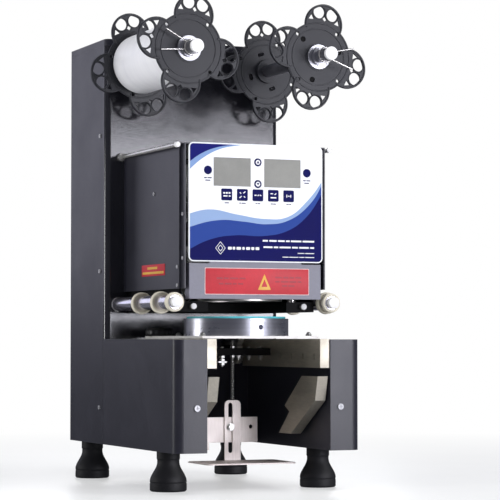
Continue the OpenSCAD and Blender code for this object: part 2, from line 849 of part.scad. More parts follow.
module supply_disc_rear() reel_disc(-reel_x, 206, [17, 107, 197, 287]) {
    rear_hub();
    rear_slots();
}
module supply_disc_front() reel_disc(-reel_x, 40, [80, 165, 257, 345]) {
    front_hub();
    blind_holes([]);
}
module takeup_disc_rear() reel_disc(reel_x, 206, [7, 97, 187, 277]) {
    rear_hub();
    rear_slots();
}
module takeup_disc_front() reel_disc(reel_x, 50, [79, 165, 257, 343]) {
    front_hub();
    blind_holes([14, 134, 254]);
}

// Shaft from its tip in front to its end in the column, with a washer at the front disc
module reel_shaft(x, disc_y, back) {
    color(STEEL) placed() {
        bar_y(x, [13, back], reel_z, shaft_r);
        bar_y(x, [11, 13 + tiny], reel_z, shaft_r - 1);
        bar_y(x, [disc_y - 2.8, disc_y - 0.6], reel_z, 15);
        bar_y(x, [disc_y - 7.5, disc_y - 2.7], reel_z, 11);
        bar_y(x, [206 + disc_t, 226], reel_z, 12);
    }
}
module supply_shaft() reel_shaft(-reel_x, 40, 276);
module takeup_shaft() reel_shaft(reel_x, 50, 290);

// Hairpin clip: a ring of wire round the shaft with two straight legs that spread apart
module hairpin(x, y, turn) {
    color(STEEL) placed() translate([x, y, reel_z]) rotate([90, 0, 0]) rotate([0, 0, turn]) {
        rotate_extrude() translate([shaft_r + 1, 0]) circle(0.9);
        for (leg = [-1, 1]) rotate([0, 0, leg * 30]) translate([shaft_r + 1, 0, 0]) rotate([0, 90, -leg * 14])
            cylinder(h = 30, r = 0.9);
    }
}
module supply_clip() hairpin(-reel_x, 29, 167);
module takeup_clip() hairpin(reel_x, 28, -5);

module film_roll() {
    color("white") placed() difference() {
        bar_y(-reel_x, [40 + disc_t + 2, 200.6], reel_z, film_r);
        bar_y(-reel_x, [40, 208], reel_z, shaft_r);
    }
}

base_shell();
column_cover();
column_front_panel();
top_cover();
inner_frame();
rubber_feet();
drawer_rails();
cross_bar();
guide_brackets();
platform_bracket();
platform_hardware();
head_cover();
control_panel();
panel_board();
display_windows();
lower_cover();
film_plate();
film_guide_rods();
roller_axles();
reel_bearings();
reel_motor();
press_motor();
drawer_motor();
main_board();
power_supply();
press_columns();
power_inlet();
cover_screws();
drawer_plate();
mould_ring();
ring_gasket();
drawer_fittings();
drawer_rack();
drawer_pinion();
press_carriage();
heater_plate();
cutter_ring();
press_pinion();
supply_shaft();
supply_disc_rear();
supply_disc_front();
supply_clip();
film_roll();
takeup_shaft();
takeup_disc_rear();
takeup_disc_front();
takeup_clip();
roller_left();
roller_right();
cup_platform();
power_rocker();
key_round_left();
key_round_right();
key_up();
key_down();
key_1();
key_2();
key_3();
key_4();
key_5();
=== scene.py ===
"""Looks of a bench-top cup sealing machine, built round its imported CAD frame.

Everything is in metres in the frame's own axes: X across the machine, +Y to its back, +Z up.
"""

import math

import bmesh
import bpy
import numpy as np
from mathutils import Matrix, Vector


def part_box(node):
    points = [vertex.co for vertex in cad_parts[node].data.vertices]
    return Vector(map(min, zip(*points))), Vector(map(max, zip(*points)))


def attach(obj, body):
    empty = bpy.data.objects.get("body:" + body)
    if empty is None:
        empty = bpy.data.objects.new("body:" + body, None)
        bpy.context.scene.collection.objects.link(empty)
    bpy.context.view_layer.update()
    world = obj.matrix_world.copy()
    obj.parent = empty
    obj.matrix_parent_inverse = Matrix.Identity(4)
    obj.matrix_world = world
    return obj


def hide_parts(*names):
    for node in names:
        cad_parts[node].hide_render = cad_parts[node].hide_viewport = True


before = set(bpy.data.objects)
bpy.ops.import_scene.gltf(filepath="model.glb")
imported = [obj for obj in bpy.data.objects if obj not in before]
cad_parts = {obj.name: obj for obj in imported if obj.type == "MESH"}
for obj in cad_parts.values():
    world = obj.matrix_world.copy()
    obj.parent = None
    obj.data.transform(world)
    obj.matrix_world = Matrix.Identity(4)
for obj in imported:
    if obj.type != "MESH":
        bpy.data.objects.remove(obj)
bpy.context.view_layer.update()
MM = 0.001
MICRON = 0.000001
TURN = 2 * math.pi


# ---------- Node trees: short ways to add and join nodes ----------


def put(tree, kind, inputs=None, **settings):
    """Adds a node. inputs maps a socket's name or number to a value or to another node's output."""
    node = tree.nodes.new("ShaderNode" + kind)
    for key, value in settings.items():
        setattr(node, key, value)
    for key, value in (inputs or {}).items():
        if isinstance(value, bpy.types.NodeSocket):
            tree.links.new(value, node.inputs[key])
        else:
            node.inputs[key].default_value = value
    return node


def calc(tree, operation, *terms, clamp=False):
    """One Math node on up to three terms, and its output."""
    return put(tree, "Math", dict(enumerate(terms)), operation=operation, use_clamp=clamp).outputs[0]


def vec(tree, operation, *terms):
    """One Vector Math node, and its vector or value output."""
    node = put(tree, "VectorMath", dict(enumerate(terms)), operation=operation)
    return node.outputs["Value" if operation in ("DOT_PRODUCT", "LENGTH", "DISTANCE") else "Vector"]


def ramp(tree, value, low, high, out_low=0.0, out_high=1.0):
    """value between low and high, carried linearly to out_low and out_high, and held at both ends."""
    return put(tree, "MapRange", {0: value, 1: low, 2: high, 3: out_low, 4: out_high}).outputs[0]


def tint(tree, factor, first, second):
    """Colour mix of first and second by factor."""
    return put(tree, "Mix", {0: factor, 6: first, 7: second}, data_type="RGBA").outputs[2]


def rgb(red, green, blue):
    """A colour given as it looks on a screen, from 0 to 255, as linear light with full alpha."""
    return tuple(((c / 255 + 0.055) / 1.055) ** 2.4 if c > 10 else c / 3294.6 for c in (red, green, blue)) + (1.0,)


def object_point(tree):
    """The point in the object's own coordinates."""
    return put(tree, "TexCoord").outputs["Object"]


def noise(tree, point, scale, detail=3.0, rough=0.55):
    """Cloudy noise from 0 to 1 at a point."""
    inputs = {"Vector": point, "Scale": scale, "Detail": detail, "Roughness": rough}
    return put(tree, "TexNoise", inputs).outputs["Fac"]


def join(tree, node, **links):
    """Feeds a node's sockets; an underscore in a name stands for a space."""
    for key, value in links.items():
        tree.links.new(value, node.inputs[key.replace("_", " ")])


def new_group(name, inputs, values=(), vectors=()):
    """An empty shader group with float or vector inputs given as (name, default), and its two end nodes."""
    group = bpy.data.node_groups.new(name, "ShaderNodeTree")
    for label, default in inputs:
        kind = "NodeSocketVector" if isinstance(default, tuple) else "NodeSocketFloat"
        group.interface.new_socket(label, in_out="INPUT", socket_type=kind).default_value = default
    for kind, labels in (("NodeSocketFloat", values), ("NodeSocketVector", vectors)):
        for label in labels:
            group.interface.new_socket(label, in_out="OUTPUT", socket_type=kind)
    return group, group.nodes.new("NodeGroupInput"), group.nodes.new("NodeGroupOutput")


def use(tree, group, **inputs):
    """Places a group in a tree with its own values; an underscore in a name stands for a space."""
    return put(tree, "Group", {key.replace("_", " "): value for key, value in inputs.items()}, node_tree=group)


# ---------- Shared effects ----------


def make_grain():
    """Fine bumps of a sprayed or moulded skin: a small noise over a larger one, and a slow change of shade."""
    group, start, end = new_group("skin_grain", [("Size", 0.0006), ("Blotch", 0.05)], ["Height", "Shade"])
    point = object_point(group)
    fine = noise(group, point, calc(group, "DIVIDE", 1.0, start.outputs["Size"]), 2.0)
    broad = noise(group, point, calc(group, "DIVIDE", 0.22, start.outputs["Size"]), 3.0)
    slow = noise(group, point, calc(group, "DIVIDE", 1.0, start.outputs["Blotch"]), 4.0, 0.6)
    height = calc(group, "MULTIPLY_ADD", broad, 0.6, calc(group, "MULTIPLY", fine, 0.4))
    shade = calc(group, "MULTIPLY_ADD", slow, 0.7, calc(group, "MULTIPLY", height, 0.3))
    join(group, end, Height=height, Shade=ramp(group, shade, 0.3, 0.7))
    return group


def make_edge_wear():
    """Rubbed edges: where a rounded normal leaves the true one, broken up by noise."""
    group, start, end = new_group("edge_wear", [("Width", 0.0012), ("Amount", 0.5)], ["Mask"], ["Normal"])
    point = object_point(group)
    wide = put(group, "Bevel", {"Radius": start.outputs["Width"]}, samples=4).outputs[0]
    narrow = put(group, "Bevel", {"Radius": 0.0005}, samples=4).outputs[0]
    true = put(group, "NewGeometry").outputs["Normal"]
    bend = calc(group, "SUBTRACT", 1.0, vec(group, "DOT_PRODUCT", wide, true))
    spots = ramp(group, noise(group, point, 90.0, 5.0, 0.7), 0.42, 0.66)
    rubbed = calc(group, "MULTIPLY", ramp(group, bend, 0.04, 0.25), spots)
    join(group, end, Mask=calc(group, "MULTIPLY", rubbed, start.outputs["Amount"], clamp=True), Normal=narrow)
    return group


def make_dust():
    """Thin dust on faces that look up, in soft uneven patches."""
    group, start, end = new_group("dust", [("Amount", 0.2)], ["Mask"])
    point = object_point(group)
    up = put(group, "SeparateXYZ", {0: put(group, "TexCoord").outputs["Normal"]}).outputs["Z"]
    patches = ramp(group, noise(group, point, 28.0, 5.0, 0.65), 0.3, 0.75, 0.25, 1.0)
    specks = ramp(group, noise(group, point, 1400.0, 1.0), 0.62, 0.75)
    settled = calc(group, "MULTIPLY", ramp(group, up, 0.55, 0.95), patches)
    both = calc(group, "ADD", settled, calc(group, "MULTIPLY", specks, 0.12))
    join(group, end, Mask=calc(group, "MULTIPLY", both, start.outputs["Amount"], clamp=True))
    return group


def make_lines():
    """Fine parallel tool marks: noise on a point squeezed along two directions and stretched along the third."""
    inputs = [("Point", (0.0, 0.0, 0.0)), ("Squeeze", (1.0, 1.0, 1.0))]
    group, start, end = new_group("tool_lines", inputs, ["Height", "Shade"])
    point = vec(group, "MULTIPLY", start.outputs["Point"], start.outputs["Squeeze"])
    fine = noise(group, point, 1.0, 3.0, 0.7)
    broad = noise(group, vec(group, "MULTIPLY", point, (0.12, 0.12, 0.12)), 1.0, 2.0, 0.6)
    shade = calc(group, "MULTIPLY_ADD", fine, 0.6, calc(group, "MULTIPLY", broad, 0.4))
    join(group, end, Height=fine, Shade=ramp(group, shade, 0.32, 0.68))
    return group


def make_turned_point():
    """Turns a point into (distance from the Z axis, angle round it in turns, height along it)."""
    group, start, end = new_group("turned_point", [("Point", (0.0, 0.0, 0.0))], vectors=["Point"])
    parts = put(group, "SeparateXYZ", {0: start.outputs["Point"]})
    flat = vec(group, "MULTIPLY", start.outputs["Point"], (1.0, 1.0, 0.0))
    angle = calc(group, "DIVIDE", calc(group, "ARCTAN2", parts.outputs["Y"], parts.outputs["X"]), TURN)
    made = put(group, "CombineXYZ", {0: vec(group, "LENGTH", flat), 1: angle, 2: parts.outputs["Z"]})
    join(group, end, Point=made.outputs[0])
    return group


def make_scratches():
    """Sparse hairline scratches in two slanting directions."""
    group, start, end = new_group("scratches", [("Amount", 0.3)], ["Mask"])
    point = object_point(group)
    found = []
    for angle in (0.5, -0.9):
        turned = put(group, "Mapping", {"Vector": point, "Rotation": (angle, angle * 0.7, angle)}).outputs[0]
        thin = vec(group, "MULTIPLY", turned, (900.0, 900.0, 14.0))
        found.append(ramp(group, noise(group, thin, 1.0, 1.0, 0.5), 0.7, 0.78))
    both = calc(group, "MAXIMUM", *found)
    rare = ramp(group, noise(group, point, 40.0, 2.0), 0.5, 0.62)
    join(group, end, Mask=calc(group, "MULTIPLY", calc(group, "MULTIPLY", both, rare), start.outputs["Amount"]))
    return group


GRAIN = make_grain()
EDGE_WEAR = make_edge_wear()
DUST = make_dust()
LINES = make_lines()
TURNED = make_turned_point()
SCRATCHES = make_scratches()
DUST_GREY = rgb(190, 188, 182)


# ---------- Materials ----------


def new_material(name, **constants):
    """An empty material: its tree and its Principled shader, with constants set on the shader's own sockets."""
    material = bpy.data.materials.new(name)
    material.use_nodes = True
    tree = material.node_tree
    tree.nodes.clear()
    shader = put(tree, "BsdfPrincipled")
    put(tree, "OutputMaterial", {"Surface": shader.outputs[0]}).is_active_output = True
    for key, value in constants.items():
        shader.inputs[key.replace("_", " ")].default_value = value
    return material, tree, shader


def relief(tree, height, depth, normal=None):
    """Bump of the given depth in metres over a normal."""
    inputs = {"Height": height, "Distance": depth}
    if normal is not None:
        inputs["Normal"] = normal
    return put(tree, "Bump", inputs).outputs[0]


def shades(colour, darker, lighter, lift=0.0):
    """A darker and a lighter shade of a colour, the lighter one lifted a little."""
    dark = tuple(c * darker for c in colour[:3]) + (1.0,)
    return dark, tuple(min(1.0, c * lighter + lift) for c in colour[:3]) + (1.0,)


def lathe_axis(node, axis):
    """Centre of a node's box and the turn that lays its axis along Z."""
    low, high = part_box(node)
    turns = {"y": (math.pi / 2, 0.0, 0.0), "z": (0.0, 0.0, 0.0)}
    return {"centre": tuple((low + high) / 2), "turn": turns[axis]}


def round_axis(tree, centre, turn):
    """The object's point as distance from a lathe axis, turns round it and height along it."""
    moved = vec(tree, "SUBTRACT", object_point(tree), centre)
    spun = put(tree, "Mapping", {"Vector": moved, "Rotation": turn}).outputs[0]
    return use(tree, TURNED, Point=spun).outputs[0]


def coated(name, colour, rough, grain=0.0007, depth=60 * MICRON, worn=(150, 150, 155), wear=0.35, dust=0.1, **k):
    """Painted or moulded skin: grain, slow change of shade, rubbed edges and a little dust."""
    material, tree, shader = new_material(name, **k)
    skin = use(tree, GRAIN, Size=grain, Blotch=0.06)
    edge = use(tree, EDGE_WEAR, Width=0.0012, Amount=wear)
    fallen = use(tree, DUST, Amount=dust).outputs["Mask"]
    dark, light = shades(colour, 0.82, 1.35, 0.002)
    body = tint(tree, skin.outputs["Shade"], dark, light)
    body = tint(tree, edge.outputs["Mask"], body, rgb(*worn))
    body = tint(tree, fallen, body, DUST_GREY)
    gloss = ramp(tree, skin.outputs["Shade"], 0.0, 1.0, rough - 0.05, rough + 0.06)
    gloss = calc(tree, "ADD", gloss, calc(tree, "MULTIPLY", fallen, 0.5))
    normal = relief(tree, skin.outputs["Height"], depth, edge.outputs["Normal"])
    join(tree, shader, Base_Color=body, Roughness=gloss, Normal=normal)
    return material


def metal(name, colour, rough, squeeze=(60.0, 1200.0, 1200.0), depth=6 * MICRON, centre=None, turn=None,
          soft=True, scratched=0.5, **k):
    """Bare metal with tool marks, straight ones by default, or turned ones round an axis through centre. A soft one
    has its edges rounded off by the normal. Squeeze is how many marks a metre holds in each direction."""
    k.setdefault("Metallic", 1.0)
    material, tree, shader = new_material(name, **k)
    point = round_axis(tree, centre, turn) if centre else object_point(tree)
    marks = use(tree, LINES, Point=point, Squeeze=squeeze)
    edge = use(tree, EDGE_WEAR, Width=0.0008, Amount=0.4)
    scratch = use(tree, SCRATCHES, Amount=scratched).outputs["Mask"]
    smudge = noise(tree, object_point(tree), 35.0, 4.0, 0.6)
    dark, light = shades(colour, 0.84, 1.12)
    body = tint(tree, marks.outputs["Shade"], dark, light)
    body = tint(tree, edge.outputs["Mask"], body, light)
    gloss = ramp(tree, smudge, 0.35, 0.7, rough * 0.85, rough * 1.3)
    gloss = calc(tree, "MULTIPLY_ADD", marks.outputs["Shade"], rough * 0.3, gloss)
    gloss = calc(tree, "MULTIPLY_ADD", scratch, 0.25, gloss)
    height = calc(tree, "SUBTRACT", marks.outputs["Height"], scratch)
    normal = relief(tree, height, depth, edge.outputs["Normal"] if soft else None)
    join(tree, shader, Base_Color=body, Roughness=gloss, Normal=normal)
    return material


def curve_line(tree, value, points):
    """A smooth line through (along, up) points in millimetres, both within the reach of the print."""
    span = 2 * PRINT_REACH
    node = put(tree, "FloatCurve", {"Value": ramp(tree, value, -PRINT_REACH * MM, PRINT_REACH * MM)})
    line = node.mapping.curves[0]
    while len(line.points) > 2:
        line.points.remove(line.points[1])
    places = [((x + PRINT_REACH) / span, (z + PRINT_REACH) / span) for x, z in points]
    line.points[0].location, line.points[1].location = places[0], places[-1]
    for place in places[1:-1]:
        line.points.new(*place)
    node.mapping.update()
    return calc(tree, "MULTIPLY_ADD", node.outputs[0], span * MM, -PRINT_REACH * MM)


# Heights of the printed waves over the panel, in millimetres above the line z = 340, against X
WAVE_TOP = [(-85, -11.4), (-60, -6.3), (-25, -11.5), (11, -16), (41, -13), (66, 6), (87, 32)]
WAVE_MIDDLE = [(-85, -27.3), (-48, -18.7), (-15, -20), (13, -22.4), (41, -17.6), (70, 2.7), (87, 28.5)]
WAVE_BOTTOM = [(-85, -53.3), (-58, -41.3), (-29, -36.5), (11, -36.4), (37, -31.2), (60.5, -17.4), (87, 17.5)]
CORNER_INNER = [(-85, 50.6), (-68, 61.5), (-50, 68), (-33, 71), (87, 80)]
CORNER_OUTER = [(-85, 41.6), (-68, 55.3), (-48, 65.5), (-29, 70), (87, 80)]
ART_MID = 340
PRINT_REACH = 90


def panel_print(name):
    """Printed foil: white, with three blue waves below, a blue corner at the top left and a pale rim."""
    material, tree, shader = new_material(name, Specular_IOR_Level=0.03)
    place = put(tree, "SeparateXYZ", {0: object_point(tree)})
    x = place.outputs["X"]
    z = calc(tree, "SUBTRACT", place.outputs["Z"], ART_MID * MM)
    soft = 0.12 * MM
    skin = use(tree, GRAIN, Size=0.0004, Blotch=0.09)
    art = tint(tree, skin.outputs["Shade"], rgb(243, 245, 250), rgb(252, 253, 255))
    navy = tint(tree, skin.outputs["Shade"], rgb(12, 13, 80), rgb(17, 19, 92))
    inks = [
        (WAVE_TOP, "under", rgb(148, 173, 212)),
        (WAVE_MIDDLE, "under", rgb(46, 72, 149)),
        (WAVE_BOTTOM, "under", navy),
        (CORNER_OUTER, "over", rgb(132, 160, 206)),
        (CORNER_INNER, "over", rgb(24, 26, 106)),
    ]
    for points, side, ink in inks:
        line = curve_line(tree, x, points)
        gap = calc(tree, "SUBTRACT", line, z) if side == "under" else calc(tree, "SUBTRACT", z, line)
        art = tint(tree, ramp(tree, gap, -soft, soft), art, ink)

    low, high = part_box("control_panel")
    radius, rim_width = 6 * MM, 1.3 * MM
    past = []
    for value, start, stop in ((x, low.x, high.x), (place.outputs["Z"], low.z, high.z)):
        reach = calc(tree, "ABSOLUTE", calc(tree, "SUBTRACT", value, (start + stop) / 2))
        past.append(calc(tree, "MAXIMUM", calc(tree, "SUBTRACT", reach, (stop - start) / 2 - radius), 0.0))
    corner = vec(tree, "LENGTH", put(tree, "CombineXYZ", {0: past[0], 1: past[1]}).outputs[0])
    rim = ramp(tree, calc(tree, "SUBTRACT", corner, radius - rim_width), -soft, soft)
    art = tint(tree, rim, art, rgb(246, 248, 252))
    edge = use(tree, EDGE_WEAR, Width=0.0009, Amount=0.0)
    gloss = ramp(tree, skin.outputs["Shade"], 0.0, 1.0, 0.33, 0.42)
    normal = relief(tree, skin.outputs["Height"], 10 * MICRON, edge.outputs["Normal"])
    join(tree, shader, Base_Color=art, Roughness=gloss, Normal=normal)
    return material


def wound_film(name):
    """White film in many layers: fine rings on the roll's ends and faint lines round its outside."""
    material, tree, shader = new_material(name, Coat_Weight=0.15, Coat_Roughness=0.3)
    point = round_axis(tree, **lathe_axis("film_roll", "y"))
    layers = use(tree, LINES, Point=point, Squeeze=(1800.0, 2.0, 260.0))
    fallen = use(tree, DUST, Amount=0.08).outputs["Mask"]
    body = tint(tree, layers.outputs["Shade"], rgb(232, 232, 238), rgb(246, 246, 249))
    body = tint(tree, fallen, body, DUST_GREY)
    gloss = ramp(tree, layers.outputs["Shade"], 0.0, 1.0, 0.34, 0.48)
    join(tree, shader, Base_Color=body, Roughness=gloss, Normal=relief(tree, layers.outputs["Height"], 20 * MICRON))
    return material


SPRAYED_BLACK = (0.017, 0.017, 0.026, 1.0)
GLOSS_BLACK = (0.01, 0.01, 0.014, 1.0)
EVEN_MARKS = (500.0, 500.0, 500.0)
FAINT_MARKS = (60.0, 60.0, 60.0)
LENGTHWISE_MARKS = (60.0, 20.0, 60.0)
LATHE_MARKS = (2500.0, 3.0, 2500.0)
FOIL = {"grain": 0.0005, "depth": 10 * MICRON}
INK = {"grain": 0.0003, "depth": 5 * MICRON, "wear": 0.0, "dust": 0.0}
CHROME = {"squeeze": LENGTHWISE_MARKS, "depth": 0.1 * MICRON, "soft": False}

# Each coat: its colour, how rough it is, and what differs from the usual coat
COATS = {
    "black_coat": (SPRAYED_BLACK, 0.38, {"grain": 0.0008, "depth": 90 * MICRON}),
    "gloss_front": (GLOSS_BLACK, 0.15, {"grain": 0.0011, "depth": 50 * MICRON, "Specular_IOR_Level": 0.8}),
    "grey_coat": (rgb(106, 106, 119), 0.4, {"wear": 0.4, "worn": (190, 190, 195)}),
    "matt_black": (rgb(14, 14, 15), 0.7, {"wear": 0.0, "dust": 0.02, "Specular_IOR_Level": 0.2}),
    "reel_plastic": (
        rgb(30, 31, 37), 0.44, {"grain": 0.0005, "depth": 40 * MICRON, "worn": (95, 95, 100), "wear": 0.4}
    ),
    "black_plastic": (rgb(30, 30, 32), 0.4, {"grain": 0.0005, "worn": (80, 80, 82)}),
    "foot_rubber": (rgb(20, 20, 23), 0.6, {"grain": 0.0009, "worn": (60, 60, 62), "wear": 0.2}),
    "gasket_teal": (rgb(84, 196, 206), 0.5, {"grain": 0.0008, "wear": 0.0, "dust": 0.05}),
    "collar_cream": (rgb(214, 208, 190), 0.5, {"worn": (235, 232, 222), "wear": 0.3}),
    "cap_white": (rgb(240, 240, 240), 0.35, {"grain": 0.0004, "depth": 10 * MICRON, "wear": 0.0, "dust": 0.05}),
    "card": (rgb(176, 142, 104), 0.8, {"grain": 0.0006, "wear": 0.2, "worn": (210, 190, 160)}),
    "board_green": (rgb(24, 92, 52), 0.3, {"grain": 0.002, "wear": 0.1, "worn": (190, 170, 90)}),
    "window_grey": (rgb(130, 130, 125), 0.5, {**INK, "depth": 8 * MICRON}),
    "key_navy": (
        rgb(17, 19, 80), 0.4,
        {**INK, "grain": 0.0004, "depth": 10 * MICRON, "wear": 0.05, "Specular_IOR_Level": 0.03},
    ),
    "print_dark": (rgb(150, 30, 44), 0.45, INK),
    "print_white": (rgb(236, 238, 244), 0.4, INK),
    "plate_red": (rgb(182, 34, 46), 0.4, {**FOIL, "worn": (226, 120, 126), "wear": 0.2, "Specular_IOR_Level": 0.3}),
    "plate_pale": (rgb(226, 196, 196), 0.4, {**FOIL, "wear": 0.0}),
    "plate_yellow": (rgb(208, 158, 50), 0.4, {**FOIL, "wear": 0.0}),
}

# Each bare metal in the same way
METALS = {
    "satin_steel": (rgb(208, 202, 186), 0.42, {"squeeze": (500.0, 60.0, 500.0), "Metallic": 0.85}),
    "sheet_steel": (rgb(228, 226, 222), 0.42, {"Metallic": 0.2}),
    "bent_steel": (rgb(246, 234, 228), 0.4, {"squeeze": (1200.0, 1200.0, 60.0), "Metallic": 0.25}),
    "screw_steel": (rgb(196, 196, 200), 0.35, {"squeeze": EVEN_MARKS, "Metallic": 0.4}),
    "zinc": (rgb(200, 200, 196), 0.3, {"squeeze": EVEN_MARKS}),
    "cast_metal": (rgb(150, 150, 154), 0.5, {"squeeze": (700.0, 700.0, 700.0), "depth": 30 * MICRON}),
    "hub_metal": (rgb(206, 206, 212), 0.32, {"squeeze": FAINT_MARKS, "depth": 0.2 * MICRON, "soft": False}),
    "chrome_rod": (rgb(232, 230, 226), 0.2, {**CHROME, "scratched": 0.04, "Metallic": 0.8}),
    "chrome_tube": (rgb(232, 230, 242), 0.17, {**CHROME, "scratched": 0.0, "Metallic": 0.95}),
    "press_metal": (rgb(200, 196, 190), 0.3, {"squeeze": LATHE_MARKS, **lathe_axis("heater_plate", "z")}),
    "ring_metal": (
        rgb(182, 183, 192), 0.27,
        {"squeeze": LATHE_MARKS, "depth": 0.3 * MICRON, "soft": False, **lathe_axis("mould_ring", "z")},
    ),
}

MATERIALS = {"panel_print": panel_print("panel_print"), "film_white": wound_film("film_white")}
for maker, table in ((coated, COATS), (metal, METALS)):
    for name, (colour, rough, changes) in table.items():
        MATERIALS[name] = maker(name, colour, rough, **changes)

# The CAD nodes of each finish; the nine keys are navy
NODE_FINISH = {
    "black_coat": ["base_shell", "column_cover", "top_cover", "head_cover"],
    "gloss_front": ["column_front_panel"],
    "grey_coat": ["lower_cover"],
    "matt_black": ["cross_bar", "film_plate"],
    "black_plastic": ["power_inlet", "power_rocker", "drawer_fittings"],
    "reel_plastic": ["supply_disc_rear", "supply_disc_front", "takeup_disc_rear", "takeup_disc_front"],
    "foot_rubber": ["rubber_feet"],
    "gasket_teal": ["ring_gasket"],
    "panel_print": ["control_panel"],
    "window_grey": ["display_windows"],
    "film_white": ["film_roll"],
    "board_green": ["panel_board", "main_board"],
    "satin_steel": ["drawer_rails", "guide_brackets"],
    "sheet_steel": ["drawer_plate"],
    "bent_steel": ["platform_bracket", "cup_platform"],
    "screw_steel": ["cover_screws"],
    "zinc": [
        "inner_frame", "platform_hardware", "power_supply", "drawer_rack", "drawer_pinion", "press_carriage",
        "press_pinion",
    ],
    "cast_metal": ["reel_bearings", "reel_motor", "press_motor", "drawer_motor"],
    "hub_metal": ["supply_shaft", "takeup_shaft"],
    "chrome_rod": [
        "film_guide_rods", "roller_axles", "press_columns", "supply_clip", "takeup_clip", "roller_left",
        "roller_right",
    ],
    "press_metal": ["heater_plate", "cutter_ring"],
    "ring_metal": ["mould_ring"],
}
FINISH_OF = {node: finish for finish, nodes in NODE_FINISH.items() for node in nodes}
for name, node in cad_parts.items():
    node.data.materials.clear()
    node.data.materials.append(MATERIALS[FINISH_OF.get(name, "key_navy")])


# ---------- Shapes ----------


def rounded(corners, radius, closed=False, steps=6):
    """A line whose corners are rounded: each corner P becomes the arc (1-t)^2 A + 2t(1-t) P + t^2 B, where A and B
    lie towards the neighbours at the corner radius, or half way if that is nearer. Ends of an open line stay."""
    points = np.asarray(corners, float)
    before, after = np.roll(points, 1, 0), np.roll(points, -1, 0)
    reach = np.broadcast_to(np.asarray(radius, float), len(points)).copy()
    if not closed:
        reach[[0, -1]] = 0.0

    def towards(other):
        step = other - points
        length = np.maximum(np.linalg.norm(step, axis=1, keepdims=True), 1e-12)
        return points + step / length * np.minimum(reach[:, None], 0.499 * length)

    t = np.linspace(0, 1, steps)[None, :, None]
    start, stop = towards(before)[:, None], towards(after)[:, None]
    arcs = (1 - t) ** 2 * start + 2 * t * (1 - t) * points[:, None] + t**2 * stop
    arcs = arcs.reshape(-1, points.shape[1])
    keep = np.r_[True, np.linalg.norm(np.diff(arcs, axis=0), axis=1) > 1e-9]
    return arcs[keep]


def grid_faces(rows, columns, wrap_rows=False, wrap_columns=True, first=0):
    """Four-sided faces over a grid of points that is stored row by row, joined round where it wraps."""
    i = np.arange(rows if wrap_rows else rows - 1)[:, None]
    j = np.arange(columns if wrap_columns else columns - 1)[None, :]
    i2, j2 = (i + 1) % rows, (j + 1) % columns
    corners = [i * columns + j, i2 * columns + j, i2 * columns + j2, i * columns + j2]
    return (np.stack(corners, -1) + first).reshape(-1, 4).tolist()


def in_scene(name, data):
    """A new object of the scene."""
    thing = bpy.data.objects.new(name, data)
    bpy.context.scene.collection.objects.link(thing)
    return thing


def make_piece(name, points, faces, finish, body="root", sharp=40):
    """A finished mesh piece at the origin: doubles merged, normals outwards, smooth but for its sharp edges."""
    mesh = bpy.data.meshes.new(name)
    mesh.from_pydata(np.asarray(points, float).reshape(-1, 3).tolist(), [], faces)
    work = bmesh.new()
    work.from_mesh(mesh)
    bmesh.ops.remove_doubles(work, verts=work.verts, dist=1e-7)
    bmesh.ops.dissolve_degenerate(work, edges=work.edges, dist=1e-8)
    bmesh.ops.recalc_face_normals(work, faces=work.faces)
    work.to_mesh(mesh)
    work.free()
    mesh.polygons.foreach_set("use_smooth", np.ones(len(mesh.polygons), bool))
    mesh.set_sharp_from_angle(angle=math.radians(sharp))
    mesh.materials.append(MATERIALS[finish])
    piece = in_scene(name, mesh)
    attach(piece, body)
    return piece


def along(axis, flat, depth):
    """Points from their place across an axis (two numbers) and along it. Across Y is (X, Z)."""
    order = {"x": (2, 0, 1), "y": (0, 2, 1), "z": (0, 1, 2)}[axis]
    local = np.stack([flat[..., 0], flat[..., 1], np.broadcast_to(depth, flat.shape[:-1])], -1)
    return local[..., list(order)]


def turned(profile, centre, axis="z", sides=96, wave=None, ring=False):
    """Surface of revolution: radius and place along the axis come from the profile, the angle from 0 to one turn.
    wave(angle, place) multiplies the radius. A ring's profile is a closed outline off the axis."""
    radius, place = np.asarray(profile, float).T
    angle = np.linspace(0, TURN, sides, endpoint=False)[None, :]
    reach = np.broadcast_to(radius[:, None], (len(radius), sides))
    if wave is not None:
        reach = reach * wave(angle, place[:, None])
    flat = np.stack([reach * np.cos(angle), reach * np.sin(angle)], -1)
    points = along(axis, flat, place[:, None]) + np.asarray(centre, float)
    return points, grid_faces(len(radius), sides, wrap_rows=ring)


def slab(outline, low, high, axis="y", edge=0.3 * MM, steps=4):
    """A plate with rounded rims: its outline drawn in by edge * (1 - sin t) while the depth goes on by
    edge * (1 - cos t) from each face, t from 0 to a quarter turn, and closed with a flat face at each end."""
    outline = np.asarray(outline, float)
    tangent = np.roll(outline, -1, 0) - np.roll(outline, 1, 0)
    normal = np.stack([tangent[:, 1], -tangent[:, 0]], -1)
    normal /= np.maximum(np.linalg.norm(normal, axis=1, keepdims=True), 1e-12)
    middle = outline.mean(0)
    normal *= np.sign(((outline - middle) * normal).sum(1).mean())
    t = np.linspace(0, math.pi / 2, steps)
    inset = np.r_[edge * (1 - np.sin(t)), edge * (1 - np.sin(t[::-1]))]
    depth = np.r_[low + edge * (1 - np.cos(t)), high - edge * (1 - np.cos(t[::-1]))]
    flat = outline[None] - normal[None] * inset[:, None, None]
    rows, columns = flat.shape[:2]
    ends = [list(range(columns)), list(range((rows - 1) * columns, rows * columns))]
    return along(axis, flat, depth[:, None]), grid_faces(rows, columns) + ends


def box_outline(width, height, radius, x=0.0, z=0.0):
    """Rectangle with rounded corners round (x, z)."""
    w, h = width / 2, height / 2
    return rounded([(x - w, z - h), (x + w, z - h), (x + w, z + h), (x - w, z + h)], radius, closed=True)


